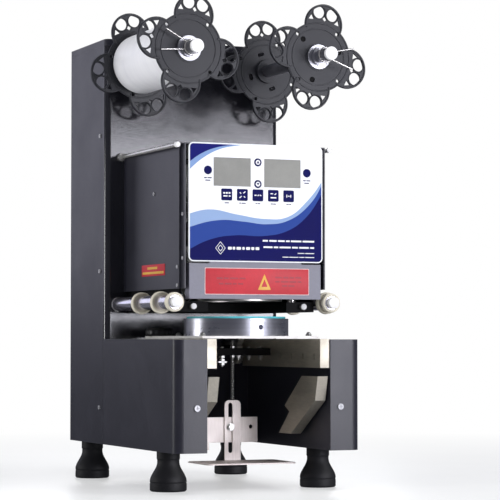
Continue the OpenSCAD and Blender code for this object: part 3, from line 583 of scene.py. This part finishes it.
def swept(path, radius, sides=8, closed=False, flat=1.0):
    """Tube round a path that lies across Y: at each point a circle of the given radius in the plane of Y and the
    path's own normal, flattened along Y by flat."""
    path, face = np.asarray(path, float), np.array([0.0, 1.0, 0.0])
    ahead = np.roll(path, -1, 0) - np.roll(path, 1, 0)
    if not closed:
        ahead[0], ahead[-1] = path[1] - path[0], path[-1] - path[-2]
    across = np.cross(ahead, face)
    across /= np.linalg.norm(across, axis=1, keepdims=True)
    angle = np.linspace(0, TURN, sides, endpoint=False)[None, :, None]
    points = path[:, None] + radius * (
        np.cos(angle) * across[:, None] + np.sin(angle) * flat * face[None, None]
    )
    faces = grid_faces(len(path), sides, wrap_rows=closed)
    if not closed:
        last = (len(path) - 1) * sides
        faces += [list(range(sides)), list(range(last, last + sides))]
    return points, faces


def together(*shapes):
    """Several (points, faces) shapes as one."""
    points, faces, count = [], [], 0
    for shape_points, shape_faces in shapes:
        flat = np.asarray(shape_points, float).reshape(-1, 3)
        points.append(flat)
        faces += [[v + count for v in face] for face in shape_faces]
        count += len(flat)
    return np.concatenate(points), faces


def box_of(node):
    """Lowest and highest corner of a CAD node as arrays."""
    low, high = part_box(node)
    return np.array(low), np.array(high)


def middle_of(node):
    """X and Z of the middle of a CAD node."""
    low, high = box_of(node)
    return (low[0] + high[0]) / 2, (low[2] + high[2]) / 2


def circle(radius, x=0.0, z=0.0, sides=40):
    """Points round (x, z)."""
    angle = np.linspace(0, TURN, sides, endpoint=False)
    return np.stack([x + radius * np.cos(angle), z + radius * np.sin(angle)], -1)


# ---------- Pieces ----------

FRONT = box_of("base_shell")[0][1]


def build_feet():
    """Bell feet: the wall swells from neck to band as half a cosine wave, over a hollow underside."""
    low, high = box_of("rubber_feet")
    band_r, neck_r, band_z, neck_z, top_z = 22 * MM, 13.2 * MM, 11.5 * MM, 35 * MM, high[2]
    u = np.linspace(0, 1, 24)
    bell = np.stack([band_r - (band_r - neck_r) * (1 - np.cos(np.pi * u)) / 2, band_z + (neck_z - band_z) * u], -1)
    under = [(0, 4.5), (13.5, 4.5), (15, 0.6), (16, 0), (20.4, 0), (22, 1.6), (22, 9.4), (21.5, 9.9), (21.5, 10.5)]
    rim_r, rim_z = 13.9 * MM, 38.3 * MM
    collar = [(neck_r, 37.5 * MM), (rim_r, rim_z), (rim_r, top_z - 0.8 * MM), (13.1 * MM, top_z), (0, top_z)]
    profile = rounded(np.concatenate([np.array(under) * MM, bell, np.array(collar)]), 0.5 * MM, steps=4)
    for name, x in (("left", low[0] + band_r), ("right", high[0] - band_r)):
        for place, y in (("front", low[1] + band_r), ("rear", high[1] - band_r)):
            foot = make_piece(f"foot_{place}_{name}", *turned(profile, (x, y, 0)), "foot_rubber")
            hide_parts("rubber_feet")


def build_film():
    """Film wound on a card core. The radius grows by one thick layer over the turn, so its loose end is a step."""
    low, high = box_of("film_roll")
    centre = (low + high) / 2
    half, radius = (high[1] - low[1]) / 2, (high[0] - low[0]) / 2
    layer, core_r, bore_r = 0.3 * MM, 12 * MM, 8.1 * MM
    outline = [(core_r, -half), (radius - layer, -half), (radius - layer, half), (core_r, half)]
    outline = rounded(outline, 0.5 * MM, closed=True, steps=4)

    def spiral(angle, place):
        return 1 + layer / radius * angle / TURN

    roll = turned(outline, centre, "y", 160, wave=spiral, ring=True)
    film = make_piece("film_wound", *roll, "film_white", "supply_reel")
    core = [(bore_r, -half - MM), (core_r, -half - MM), (core_r, half + MM), (bore_r, half + MM)]
    core = turned(rounded(core, 0.3 * MM, closed=True), centre, "y", 72, ring=True)
    make_piece("film_core", *core, "card", "supply_reel")
    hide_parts("film_roll")


def build_rollers():
    """Chrome tubes with soft collars, hollow in front, and a soft end ring; all edges are rounded off."""
    bore_r, tube_r = 5.15 * MM, 8.5 * MM
    collar = np.array([(8.3, -1), (10.8, -1), (11.2, -4), (13.2, -4), (13.5, 1.5), (11.4, 4), (8.3, 4.2)]) * MM
    end = np.array([(8.3, 0), (11, 0), (11.6, 0.8), (11.6, 5.6), (10.6, 6.4), (8.3, 6.4)]) * MM

    def lathed(outline, radius, centre):
        return turned(rounded(outline, radius, closed=True), centre, "y", 72, ring=True)

    for side, collars in (("left", (91, 157)), ("right", (60, 157))):
        low, high = box_of(f"roller_{side}")
        x, z = middle_of(f"roller_{side}")
        start, stop = low[1], high[1]
        body = f"{side}_roller"
        wall = [(bore_r, start), (tube_r, start), (tube_r, stop), (bore_r, stop)]
        tube = make_piece(f"roller_tube_{side}", *lathed(wall, 0.5 * MM, (x, 0, z)), "chrome_tube", body)
        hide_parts(f"roller_{side}")
        shapes = [lathed(collar, 0.6 * MM, (x, FRONT + y * MM, z)) for y in collars]
        make_piece(f"roller_collars_{side}", *together(*shapes), "collar_cream", body)
        make_piece(f"roller_end_{side}", *lathed(end, 0.7 * MM, (x, start, z)), "collar_cream", body)


def cap(radius, length, centre):
    """A round end cap from centre on to +Y: a shallow dome, a rounded rim and a straight wall."""
    dome, rim = 0.5 * MM, 0.8 * MM
    u = np.linspace(0, 1, 8)
    face = np.stack([(radius - rim) * u, -dome * (1 - u**2)], -1)
    wall = np.array([(radius, 0.0), (radius, length), (0.0, length)])
    return turned(rounded(np.concatenate([face, wall]), 0.7 * MM, steps=5), centre, "y", 64)


# Film guide rods, in millimetres: X on either side, Z, front end, radius, and radius of the collar at the back end
GUIDE_RODS = {"lower": (72, 219.5, 59, 3.2, 3.2), "upper": (99, 410, 47, 2.6, 5.0)}


def build_caps():
    """Pale caps on the ends of the axles, the guide rods and the reel shafts."""
    (lower_x, lower_z, *_), (upper_x, upper_z, *_) = GUIDE_RODS["lower"], GUIDE_RODS["upper"]
    for name, sign, reel in (("left", -1, "supply"), ("right", 1, "takeup")):
        x, z = middle_of(f"{reel}_shaft")
        tip = cap(8.1 * MM, 5.5 * MM, (x, box_of(f"{reel}_shaft")[0][1] + 0.1 * MM, z))
        make_piece(f"shaft_cap_{name}", *tip, "cap_white", f"{reel}_reel")
        roller_x, roller_z = middle_of(f"roller_{name}")
        caps = [
            cap(6.9 * MM, 6.6 * MM, (roller_x, box_of("roller_axles")[0][1] - 0.2 * MM, roller_z)),
            cap(3.2 * MM, 6 * MM, (sign * upper_x * MM, FRONT + 43 * MM, upper_z * MM)),
            cap(3.6 * MM, 2.5 * MM, (sign * lower_x * MM, FRONT + 58.8 * MM, lower_z * MM)),
        ]
        make_piece(f"rod_caps_{name}", *together(*caps), "cap_white")


def build_guide_rods():
    """Film guide rods: straight, with a foot collar where the upper ones leave the column."""
    stop = box_of("film_guide_rods")[1][1]
    foot = stop - 6 * MM
    shapes = []
    for sign in (-1, 1):
        for x, z, start, radius, foot_r in GUIDE_RODS.values():
            start, radius, foot_r = FRONT + start * MM, radius * MM, foot_r * MM
            outline = [(0, start), (radius, start), (radius, foot - 0.4 * MM)]
            outline += [(foot_r, foot), (foot_r, stop), (0, stop)]
            shapes.append(turned(rounded(outline, 0.4 * MM), (sign * x * MM, 0, z * MM), "y", 40))
    rods = make_piece("guide_rods", *together(*shapes), "chrome_rod")
    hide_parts("film_guide_rods")


# Each reel disc: its front face behind the front of the base, in millimetres, and the angles of its lobes
REEL_LOBES = {
    "supply_disc_rear": (206, (17, 107, 197, 287)),
    "supply_disc_front": (40, (80, 165, 257, 345)),
    "takeup_disc_rear": (206, (7, 97, 187, 277)),
    "takeup_disc_front": (50, (79, 165, 257, 343)),
}


def ring_path(centre, radius, start, stop, count):
    """Points on an arc in the XZ plane."""
    angle = np.radians(np.linspace(start, stop, count))
    return np.asarray(centre) + radius * np.stack([np.cos(angle), 0 * angle, np.sin(angle)], -1)


def build_reel_rims():
    """Raised half-round ribs on both faces of each reel disc: round each lobe, its two windows and the middle."""
    middle_r, lobe_x, lobe_r, disc_t = 41.6 * MM, 41 * MM, 25 * MM, 3
    window_out, window_side, window_r = 54.5 * MM, 8.9 * MM, 8.3 * MM
    middle_rib, lobe_rib, window_rib = 0.9 * MM, 1.25 * MM, 0.65 * MM
    for node, (depth, lobes) in REEL_LOBES.items():
        body = node.split("_")[0] + "_reel"
        x, z = middle_of(body.replace("reel", "shaft"))
        shapes = []
        for y in (FRONT + depth * MM, FRONT + (depth + disc_t) * MM):
            hub = np.array([x, y, z])
            shapes.append(swept(ring_path(hub, middle_r, 0, 357.5, 144), middle_rib, closed=True, flat=0.8))
            for lobe in lobes:
                turn = math.radians(lobe)
                ahead = np.array([math.cos(turn), 0, math.sin(turn)])
                aside = np.array([-math.sin(turn), 0, math.cos(turn)])
                path = ring_path(hub + ahead * lobe_x, lobe_r - 1.3 * MM, lobe - 112, lobe + 112, 64)
                shapes.append(swept(path, lobe_rib, flat=0.8))
                for sign in (-1, 1):
                    centre = hub + ahead * window_out + sign * aside * window_side
                    inner = lobe + 180 + sign * 20
                    shapes.append(swept(ring_path(centre, window_r, inner - 118, inner + 118, 36), window_rib))
        make_piece(node.replace("disc", "rims"), *together(*shapes), "reel_plastic", body)


def build_hole_shade():
    """Dark discs on the floors of the take-up disc's blind holes: painted shade, standing in for the shade deep in
    the holes.
    """
    x, z = middle_of("takeup_shaft")
    hole_r, from_shaft, floor_y = 3.3 * MM, 29 * MM, FRONT + 51.9 * MM
    shade_discs = []
    for spot in np.radians([14, 134, 254]):
        rim = circle(hole_r, sides=32) + (x + from_shaft * np.cos(spot), z + from_shaft * np.sin(spot))
        shade_discs.append(slab(rim, floor_y - 0.9 * MM, floor_y, edge=0.1 * MM))
    # The matt black discs are painted shade at the bottoms of the holes.
    make_piece("takeup_hole_shade", *together(*shade_discs), "matt_black", "takeup_reel")


def bars(rows, y, height, centre=(0.0, 0.0)):
    """Plain printed dashes: each row is its height and a list of (start, length), all in millimetres."""
    shapes = []
    for z, dashes in rows:
        for x, length in dashes:
            place = (centre[0] + (x + length / 2) * MM, centre[1] + z * MM)
            outline = box_outline(length * MM, height * MM, 0.3 * height * MM, *place)
            shapes.append(slab(outline, y, y + 0.3 * MM, edge=0.05 * MM, steps=2))
    return together(*shapes)


def triangle(size, height, x, z, round_by=1.0 * MM):
    """Upright triangle round (x, z); a negative height points it down."""
    corners = [(x - size / 2, z - height / 2), (x + size / 2, z - height / 2), (x, z + height / 2)]
    return rounded(corners, round_by, closed=True)


# Dashes of the front plate, as rows of bars
PLATE_LEFT = [(3.5, [(0, 8), (9.5, 6), (17, 11), (29.5, 8)]), (-3, [(3, 6), (10.5, 9), (21, 5), (27.5, 7)])]
PLATE_RIGHT = [
    (5, [(0, 9), (10.5, 7), (19, 6), (26.5, 8)]),
    (0, [(0, 6), (7.5, 10), (19, 9), (29.5, 5)]),
    (-5, [(9, 7), (17.5, 8)]),
]


def build_front_plate():
    """Red plate on the lower cover, with a pale edge, a plain triangle and dashes."""
    y = box_of("lower_cover")[0][1]
    middle_x, middle_z = 2 * MM, 249 * MM
    sign_x, sign_z = 11 * MM, 248.5 * MM
    layers = [
        ("plate_edge", "plate_pale", box_outline(136 * MM, 32 * MM, 1.6 * MM, middle_x, middle_z), 0.5, 0.2, 0.3),
        ("plate_face", "plate_red", box_outline(134.4 * MM, 30.4 * MM, 1.2 * MM, middle_x, middle_z), 0.7, 0, 0.15),
        ("plate_triangle", "plate_yellow", triangle(17 * MM, 19 * MM, sign_x, sign_z), 0.85, 0, 0.1),
        ("plate_triangle_inner", "plate_red", triangle(8 * MM, 9 * MM, sign_x, sign_z - 1.4 * MM), 0.95, 0, 0.05),
    ]
    for name, finish, outline, proud, sunk, edge in layers:
        make_piece(name, *slab(outline, y - proud * MM, y + sunk * MM, edge=edge * MM), finish)
    left = bars(PLATE_LEFT, y - 0.8 * MM, 2.0, (-51 * MM, middle_z))
    right = bars(PLATE_RIGHT, y - 0.8 * MM, 2.0, (25 * MM, middle_z))
    make_piece("plate_dashes", *together(left, right), "print_dark")


def build_side_plate():
    """Small red plate with two yellow bands on the head's left side."""
    x = box_of("head_cover")[0][0]
    back, low = FRONT + 98 * MM, 257 * MM
    layers = [
        ("side_plate", "plate_red", (79, 14, 1.2), (39.5, 7), 0.4, 0.1, 0.15),
        ("side_plate_band", "plate_yellow", (72, 3.0, 0.6), (39.5, 3.8), 0.5, 0, 0.05),
        ("side_plate_mark", "plate_yellow", (34, 3.0, 0.6), (42, 9.6), 0.5, 0, 0.05),
    ]
    for name, finish, size, (along_y, up), proud, sunk, edge in layers:
        outline = box_outline(*(side * MM for side in size), back + along_y * MM, low + up * MM)
        make_piece(name, *slab(outline, x - proud * MM, x + sunk * MM, axis="x", edge=edge * MM), finish)


# Printed marks of the square keys: (across, up, width, height, slant in degrees), in millimetres from the middle
KEY_MARKS = {
    "key_1": [(-3.4, 1.8, 2.6, 2.0, 0), (0, 1.8, 2.6, 2.0, 0), (3.4, 1.8, 2.6, 2.0, 0), (-1.8, -1.8, 5.4, 1.6, 0),
              (3.6, -1.8, 2.4, 1.6, 0)],
    "key_2": [(2.4, 3.0, 3.6, 1.2, 35), (-2.6, 2.2, 2.4, 1.2, -35), (-2.4, -2.6, 3.6, 1.2, 35),
              (2.6, -2.4, 2.4, 1.2, -35)],
    "key_3": [(-3.2, 0, 2.8, 1.4, 0), (0.4, 0, 2.2, 1.4, 30), (3.4, 0, 2.2, 1.4, -30)],
    "key_4": [(-2.2, 2.4, 3.6, 1.2, 0), (2.6, 2.0, 2.8, 1.2, 40), (0, -2.4, 7.6, 1.5, 0)],
    "key_5": [(-2.6, 0, 1.2, 3.8, 0), (2.6, 0, 1.2, 3.8, 0), (0, 0, 2.4, 1.2, 0)],
}
# Dashes on the panel under each square key and each round one
SQUARE_KEY_DASHES = [
    [(-2.6, 5.4)], [(-4, 2.6), (-0.8, 5)], [(-3, 2), (-0.4, 3.4)], [(-3.4, 6.8)], [(-3, 3), (0.6, 2.6)],
]
ROUND_KEY_DASHES = [(0, [(-5, 3.6), (-0.6, 5.4)]), (-3, [(-3.4, 6.4)])]
PRINT_T = 0.1 * MM


def slanted_bar(x, z, width, height, slant):
    """Outline of a bar round (x, z), turned by slant."""
    turn = math.radians(slant)
    outline = box_outline(width * MM, height * MM, 0.3 * height * MM)
    across = np.array([[math.cos(turn), math.sin(turn)], [-math.sin(turn), math.cos(turn)]])
    return outline @ across + (x, z)


def stamp(outline, face, proud=PRINT_T):
    """A thin printed mark that stands proud of a face and reaches a little into it."""
    return slab(outline, face - proud, face + PRINT_T, edge=0.03 * MM, steps=2)


def build_key_marks():
    """Printed marks on the keys, and short dashes on the panel under them."""
    for key, marks in KEY_MARKS.items():
        (x, z), face = middle_of(key), box_of(key)[0][1]
        shapes = [stamp(slanted_bar(x + a * MM, z + b * MM, w, h, slant), face) for a, b, w, h, slant in marks]
        make_piece(f"{key}_marks", *together(*shapes), "print_white", f"{key}_body")
    for key, up in (("key_up", 1), ("key_down", -1)):
        (x, z), face = middle_of(key), box_of(key)[0][1]
        make_piece(f"{key}_disc", *stamp(circle(2.9 * MM, x, z), face), "print_white", f"{key}_body")
        arrow = triangle(3.6 * MM, up * 3.2 * MM, x, z + up * 0.3 * MM, 0.2 * MM)
        make_piece(f"{key}_arrow", *stamp(arrow, face, 2 * PRINT_T), "key_navy", f"{key}_body")
    y = box_of("control_panel")[0][1] - 0.08 * MM
    shapes = []
    for key, dashes in zip(KEY_MARKS, SQUARE_KEY_DASHES):
        shapes.append(bars([(0, dashes)], y, 1.0, (middle_of(key)[0], box_of(key)[0][2] - 2.4 * MM)))
    for key in ("key_round_left", "key_round_right"):
        shapes.append(bars(ROUND_KEY_DASHES, y, 1.2, (middle_of(key)[0], box_of(key)[0][2] - 3.4 * MM)))
    make_piece("panel_dashes", *together(*shapes), "key_navy")


# Dashes on the dark foot of the panel, by the height of the bars
PANEL_DASHES = {
    2.1: [
        (297.8, [(8, 7), (16.5, 10), (28, 9), (38.5, 5), (45, 14), (60.5, 15.5)]),
        (290.2, [(9, 12), (22.5, 6), (30, 15), (46.5, 8), (56, 13), (70.5, 5.5)]),
    ],
    1.0: [(283.4, [(54, 9), (64, 12)]), (278.6, [(34, 8), (43, 12), (56, 7), (64, 12)])],
    3.4: [(288.2, [(-37, 5), (-31, 3.4), (-26, 6), (-18.4, 3), (-13.6, 5.4), (-6.8, 4), (-1.4, 5)])],
}


def build_panel_marks():
    """Plain white dashes and a bare diamond in a larger one on the dark foot of the panel."""
    y = box_of("control_panel")[0][1] - 0.08 * MM
    across, up, line = 6.2 * MM, 7.4 * MM, 0.4 * MM
    middle = np.array([-46.6 * MM, y + 0.1 * MM, 288.2 * MM])
    tips = np.array([(0, 0, up), (across, 0, 0), (0, 0, -up), (-across, 0, 0)])
    diamonds = [
        swept(rounded(middle + tips * share, line, closed=True), line, closed=True, flat=0.5) for share in (1, 0.5)
    ]
    dashes = [bars(rows, y, height) for height, rows in PANEL_DASHES.items()]
    make_piece("panel_marks", *together(*dashes, *diamonds), "print_white")


def build_drawer_fittings():
    """Fluted knob and four dome nuts. The knob's edge waves as a cosine; a nut's six flats are straight lines."""
    top = box_of("drawer_plate")[1][2]
    flute_depth, flute_count, flute_low, flute_high, fade = 0.045, 14, 1.5 * MM, 8.5 * MM, 1.5 * MM

    def flutes(angle, place):
        rim = np.clip((place - flute_low) / fade, 0, 1) * np.clip((flute_high - place) / fade, 0, 1)
        return 1 - flute_depth * rim * (0.5 + 0.5 * np.cos(flute_count * angle))

    side = [(0, 0), (14.6, 0), (15.4, 1), (17, 2.2), (17, 7), (14.4, 9.3), (7, 10.6), (5.4, 10.2), (0, 10.2)]
    profile = rounded(np.array(side) * MM, 1.2 * MM, steps=5)
    knob = turned(profile, (-64 * MM, FRONT + 196 * MM, top), "z", 168, wave=flutes)
    round_knob = make_piece("drawer_knob", *knob, "black_plastic", "drawer")
    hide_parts("drawer_fittings")

    def flats(angle, place):
        beside = np.mod(angle + math.pi / 6, math.pi / 3) - math.pi / 6
        hexagon = math.cos(math.pi / 6) / np.cos(beside)
        return np.where(place < 2.25 * MM, hexagon, 1.0)

    u = np.linspace(0, math.pi / 2, 9)
    dome = np.stack([2.75 * np.cos(u), 2.3 + 2.6 * np.sin(u)], -1)
    nut = np.concatenate([[(0, 0), (3.4, 0), (3.6, 0.2), (3.6, 2.0), (3.3, 2.24), (2.9, 2.3)], dome]) * MM
    nut[-1, 0] = 0.0
    places = [(-56, 150), (56, 150), (-69, 40), (69, 40)]
    shapes = [turned(nut, (x * MM, FRONT + y * MM, top), "z", 72, wave=flats) for x, y in places]
    make_piece("drawer_nuts", *together(*shapes), "zinc", "drawer", sharp=30)


def build_threads():
    """Threads over the adjusting rod and its studs: the radius waves with the angle and the height, as a helix."""
    pitch, depth, radius, row_step, rod_y = 2.8 * MM, 0.3, 2.0 * MM, 0.15, FRONT + 150.2 * MM
    rod, stud = (106, 179), (160.2, 170.5)

    def thread(angle, place):
        return 1 + depth * np.cos(angle - TURN * place / pitch)

    shapes = []
    for x, (low, high) in ((16, rod), (24, stud), (38, stud), (54, stud), (2, stud)):
        place = np.arange(low, high, row_step) * MM
        wall = np.stack([np.full(len(place), radius), place], -1)
        profile = np.concatenate([[(0, place[0])], wall, [(0, place[-1])]])
        shapes.append(turned(profile, (x * MM, rod_y, 0), "z", 16, wave=thread))
    make_piece("threaded_rods", *together(*shapes), "zinc", sharp=60)


def build_louvres():
    """Pressed hoods over the cooling slots: out by a quarter sine from top to lip, and by 1 - |u|^8 across. The
    inner wall is the outer one moved in, and a strip of faces closes each edge."""
    back = FRONT + 378 * MM
    half, rise, lift, wall = 36 * MM, 7.0 * MM, 3.2 * MM, 0.8 * MM
    first_lip, lip_pitch, row_count = 299.5, 12, 10
    u, v = np.meshgrid(np.linspace(-1, 1, 41), np.linspace(0, 1, 9), indexing="ij")
    out = lift * (1 - np.abs(u) ** 8) * np.sin(v * math.pi / 2)
    count, (rows, columns) = u.size, u.shape
    faces = grid_faces(rows, columns, wrap_columns=False)
    faces += grid_faces(rows, columns, wrap_columns=False, first=count)
    lengthwise, crosswise = np.arange(rows - 1) * columns, np.arange(columns - 1)
    for edge, step in (
        (lengthwise, columns), (lengthwise + columns - 1, columns), (crosswise, 1), (crosswise + count - columns, 1)
    ):
        faces += np.stack([edge, edge + step, edge + step + count, edge + count], -1).tolist()
    shapes = []
    for column in (-52, 52):
        for row in range(row_count):
            lip = (first_lip + lip_pitch * row) * MM
            points = np.stack([column * MM + half * u, back + 0.05 * MM + out, lip + rise * (1 - v)], -1)
            inner = points - np.array([0, wall, 0])
            shapes.append((np.concatenate([points.reshape(-1, 3), inner.reshape(-1, 3)]), faces))
    hoods = make_piece("louvre_hoods", *together(*shapes), "black_coat")


build_feet()
build_film()
build_rollers()
build_caps()
build_guide_rods()
build_reel_rims()
build_hole_shade()
build_front_plate()
build_side_plate()
build_key_marks()
build_panel_marks()
build_drawer_fittings()
build_threads()
build_louvres()


# ---------- Camera, light and floor ----------


CENTRE = (0.0, 0.0, 0.3)
WHITE = (1.0, 1.0, 1.0, 1.0)
BLUISH = (0.82, 0.84, 1.0, 1.0)
FLOOR_REACH = 12.0


def make_camera():
    """Level with the base, to the left of the front, tilted up a little."""
    data = bpy.data.cameras.new("camera")
    data.lens = 153.5
    data.sensor_width = 36.0
    camera = in_scene("camera", data)
    camera.location = (-1.0164, -2.4818, 0.181)
    camera.rotation_euler = (math.radians(92.377), 0.0, math.radians(-23.38))
    bpy.context.scene.camera = camera


def make_light(name, place, target, size, power, colour=(1.0, 1.0, 1.0), shine=True):
    """A soft rectangular light at place, facing target; without shine it leaves no highlight."""
    data = bpy.data.lights.new(name, "AREA")
    data.shape = "RECTANGLE"
    data.size, data.size_y = size
    data.energy = power
    data.color = colour
    light = in_scene(name, data)
    light.location = place
    light.visible_glossy = shine
    facing = np.array(target) - np.array(place)
    light.rotation_euler = Vector(facing).to_track_quat("-Z", "Y").to_euler()


def make_world():
    """White to the camera, dark to shiny faces, and a soft grey for everything else that it lights."""
    world = bpy.data.worlds.new("studio")
    bpy.context.scene.world = world
    world.use_nodes = True
    tree = world.node_tree
    tree.nodes.clear()
    ray = put(tree, "LightPath").outputs
    plain = put(tree, "Background", {"Color": WHITE, "Strength": 1.0}).outputs[0]
    glow = put(tree, "Background", {"Color": (0.88, 0.9, 1.0, 1.0), "Strength": 0.2}).outputs[0]
    shine = put(tree, "Background", {"Color": BLUISH, "Strength": 0.14}).outputs[0]
    lit = put(tree, "MixShader", {0: ray["Is Glossy Ray"], 1: glow, 2: shine}).outputs[0]
    both = put(tree, "MixShader", {0: ray["Is Camera Ray"], 1: lit, 2: plain}).outputs[0]
    put(tree, "OutputWorld", {"Surface": both})


def make_floor():
    """A wide flat floor: pale and a little glossy round the machine, white further out, dim in reflections."""
    corners = [(x * FLOOR_REACH, y * FLOOR_REACH, 0.0) for x, y in ((-1, -1), (1, -1), (1, 1), (-1, 1))]
    mesh = bpy.data.meshes.new("floor")
    mesh.from_pydata(corners, [], [(0, 1, 2, 3)])
    floor = in_scene("floor", mesh)
    material, tree, shader = new_material(
        "studio_floor", Roughness=0.22, Specular_IOR_Level=0.35, Emission_Color=WHITE
    )
    point = object_point(tree)
    far = ramp(tree, vec(tree, "LENGTH", point), 0.3, 1.5)
    speck = noise(tree, point, 9.0, 4.0)
    ray = put(tree, "LightPath").outputs
    lift = calc(tree, "MULTIPLY", ray["Is Camera Ray"], 0.45)
    join(tree, shader, Base_Color=tint(tree, speck, rgb(226, 228, 228), rgb(236, 237, 237)), Emission_Strength=lift)
    white = put(tree, "Emission", {"Color": WHITE, "Strength": 1.0}).outputs[0]
    dim = put(tree, "Emission", {"Color": BLUISH, "Strength": 0.12}).outputs[0]
    seen = put(tree, "MixShader", {0: far, 1: shader.outputs[0], 2: white}).outputs[0]
    both = put(tree, "MixShader", {0: ray["Is Glossy Ray"], 1: seen, 2: dim}).outputs[0]
    join(tree, next(node for node in tree.nodes if node.type == "OUTPUT_MATERIAL"), Surface=both)
    mesh.materials.append(material)


make_camera()
make_world()
make_floor()
make_light("front_card", (0.88, -2.1, 0.32), (0.0, -0.1, 0.32), (0.95, 0.62), 24.0, (0.91, 0.91, 1.0))
make_light("side_card", (-1.9, 0.85, 0.3), CENTRE, (0.45, 0.5), 6.5)
make_light("key", (1.7, -1.5, 1.5), CENTRE, (0.9, 0.9), 12.0)
make_light("left_strip", (-2.0, -0.6, 0.8), CENTRE, (0.4, 1.5), 11.0, shine=False)
make_light("back_card", (-0.85, 2.1, 0.8), CENTRE, (0.9, 1.1), 3.1, (0.84, 0.84, 1.0))
make_light("back_fill", (0.9, 2.3, 1.0), CENTRE, (1.0, 0.8), 12.0)
make_light("top", (0.1, -0.5, 2.0), CENTRE, (1.4, 1.0), 18.0, shine=False)
bpy.context.scene.view_settings.view_transform = "Standard"
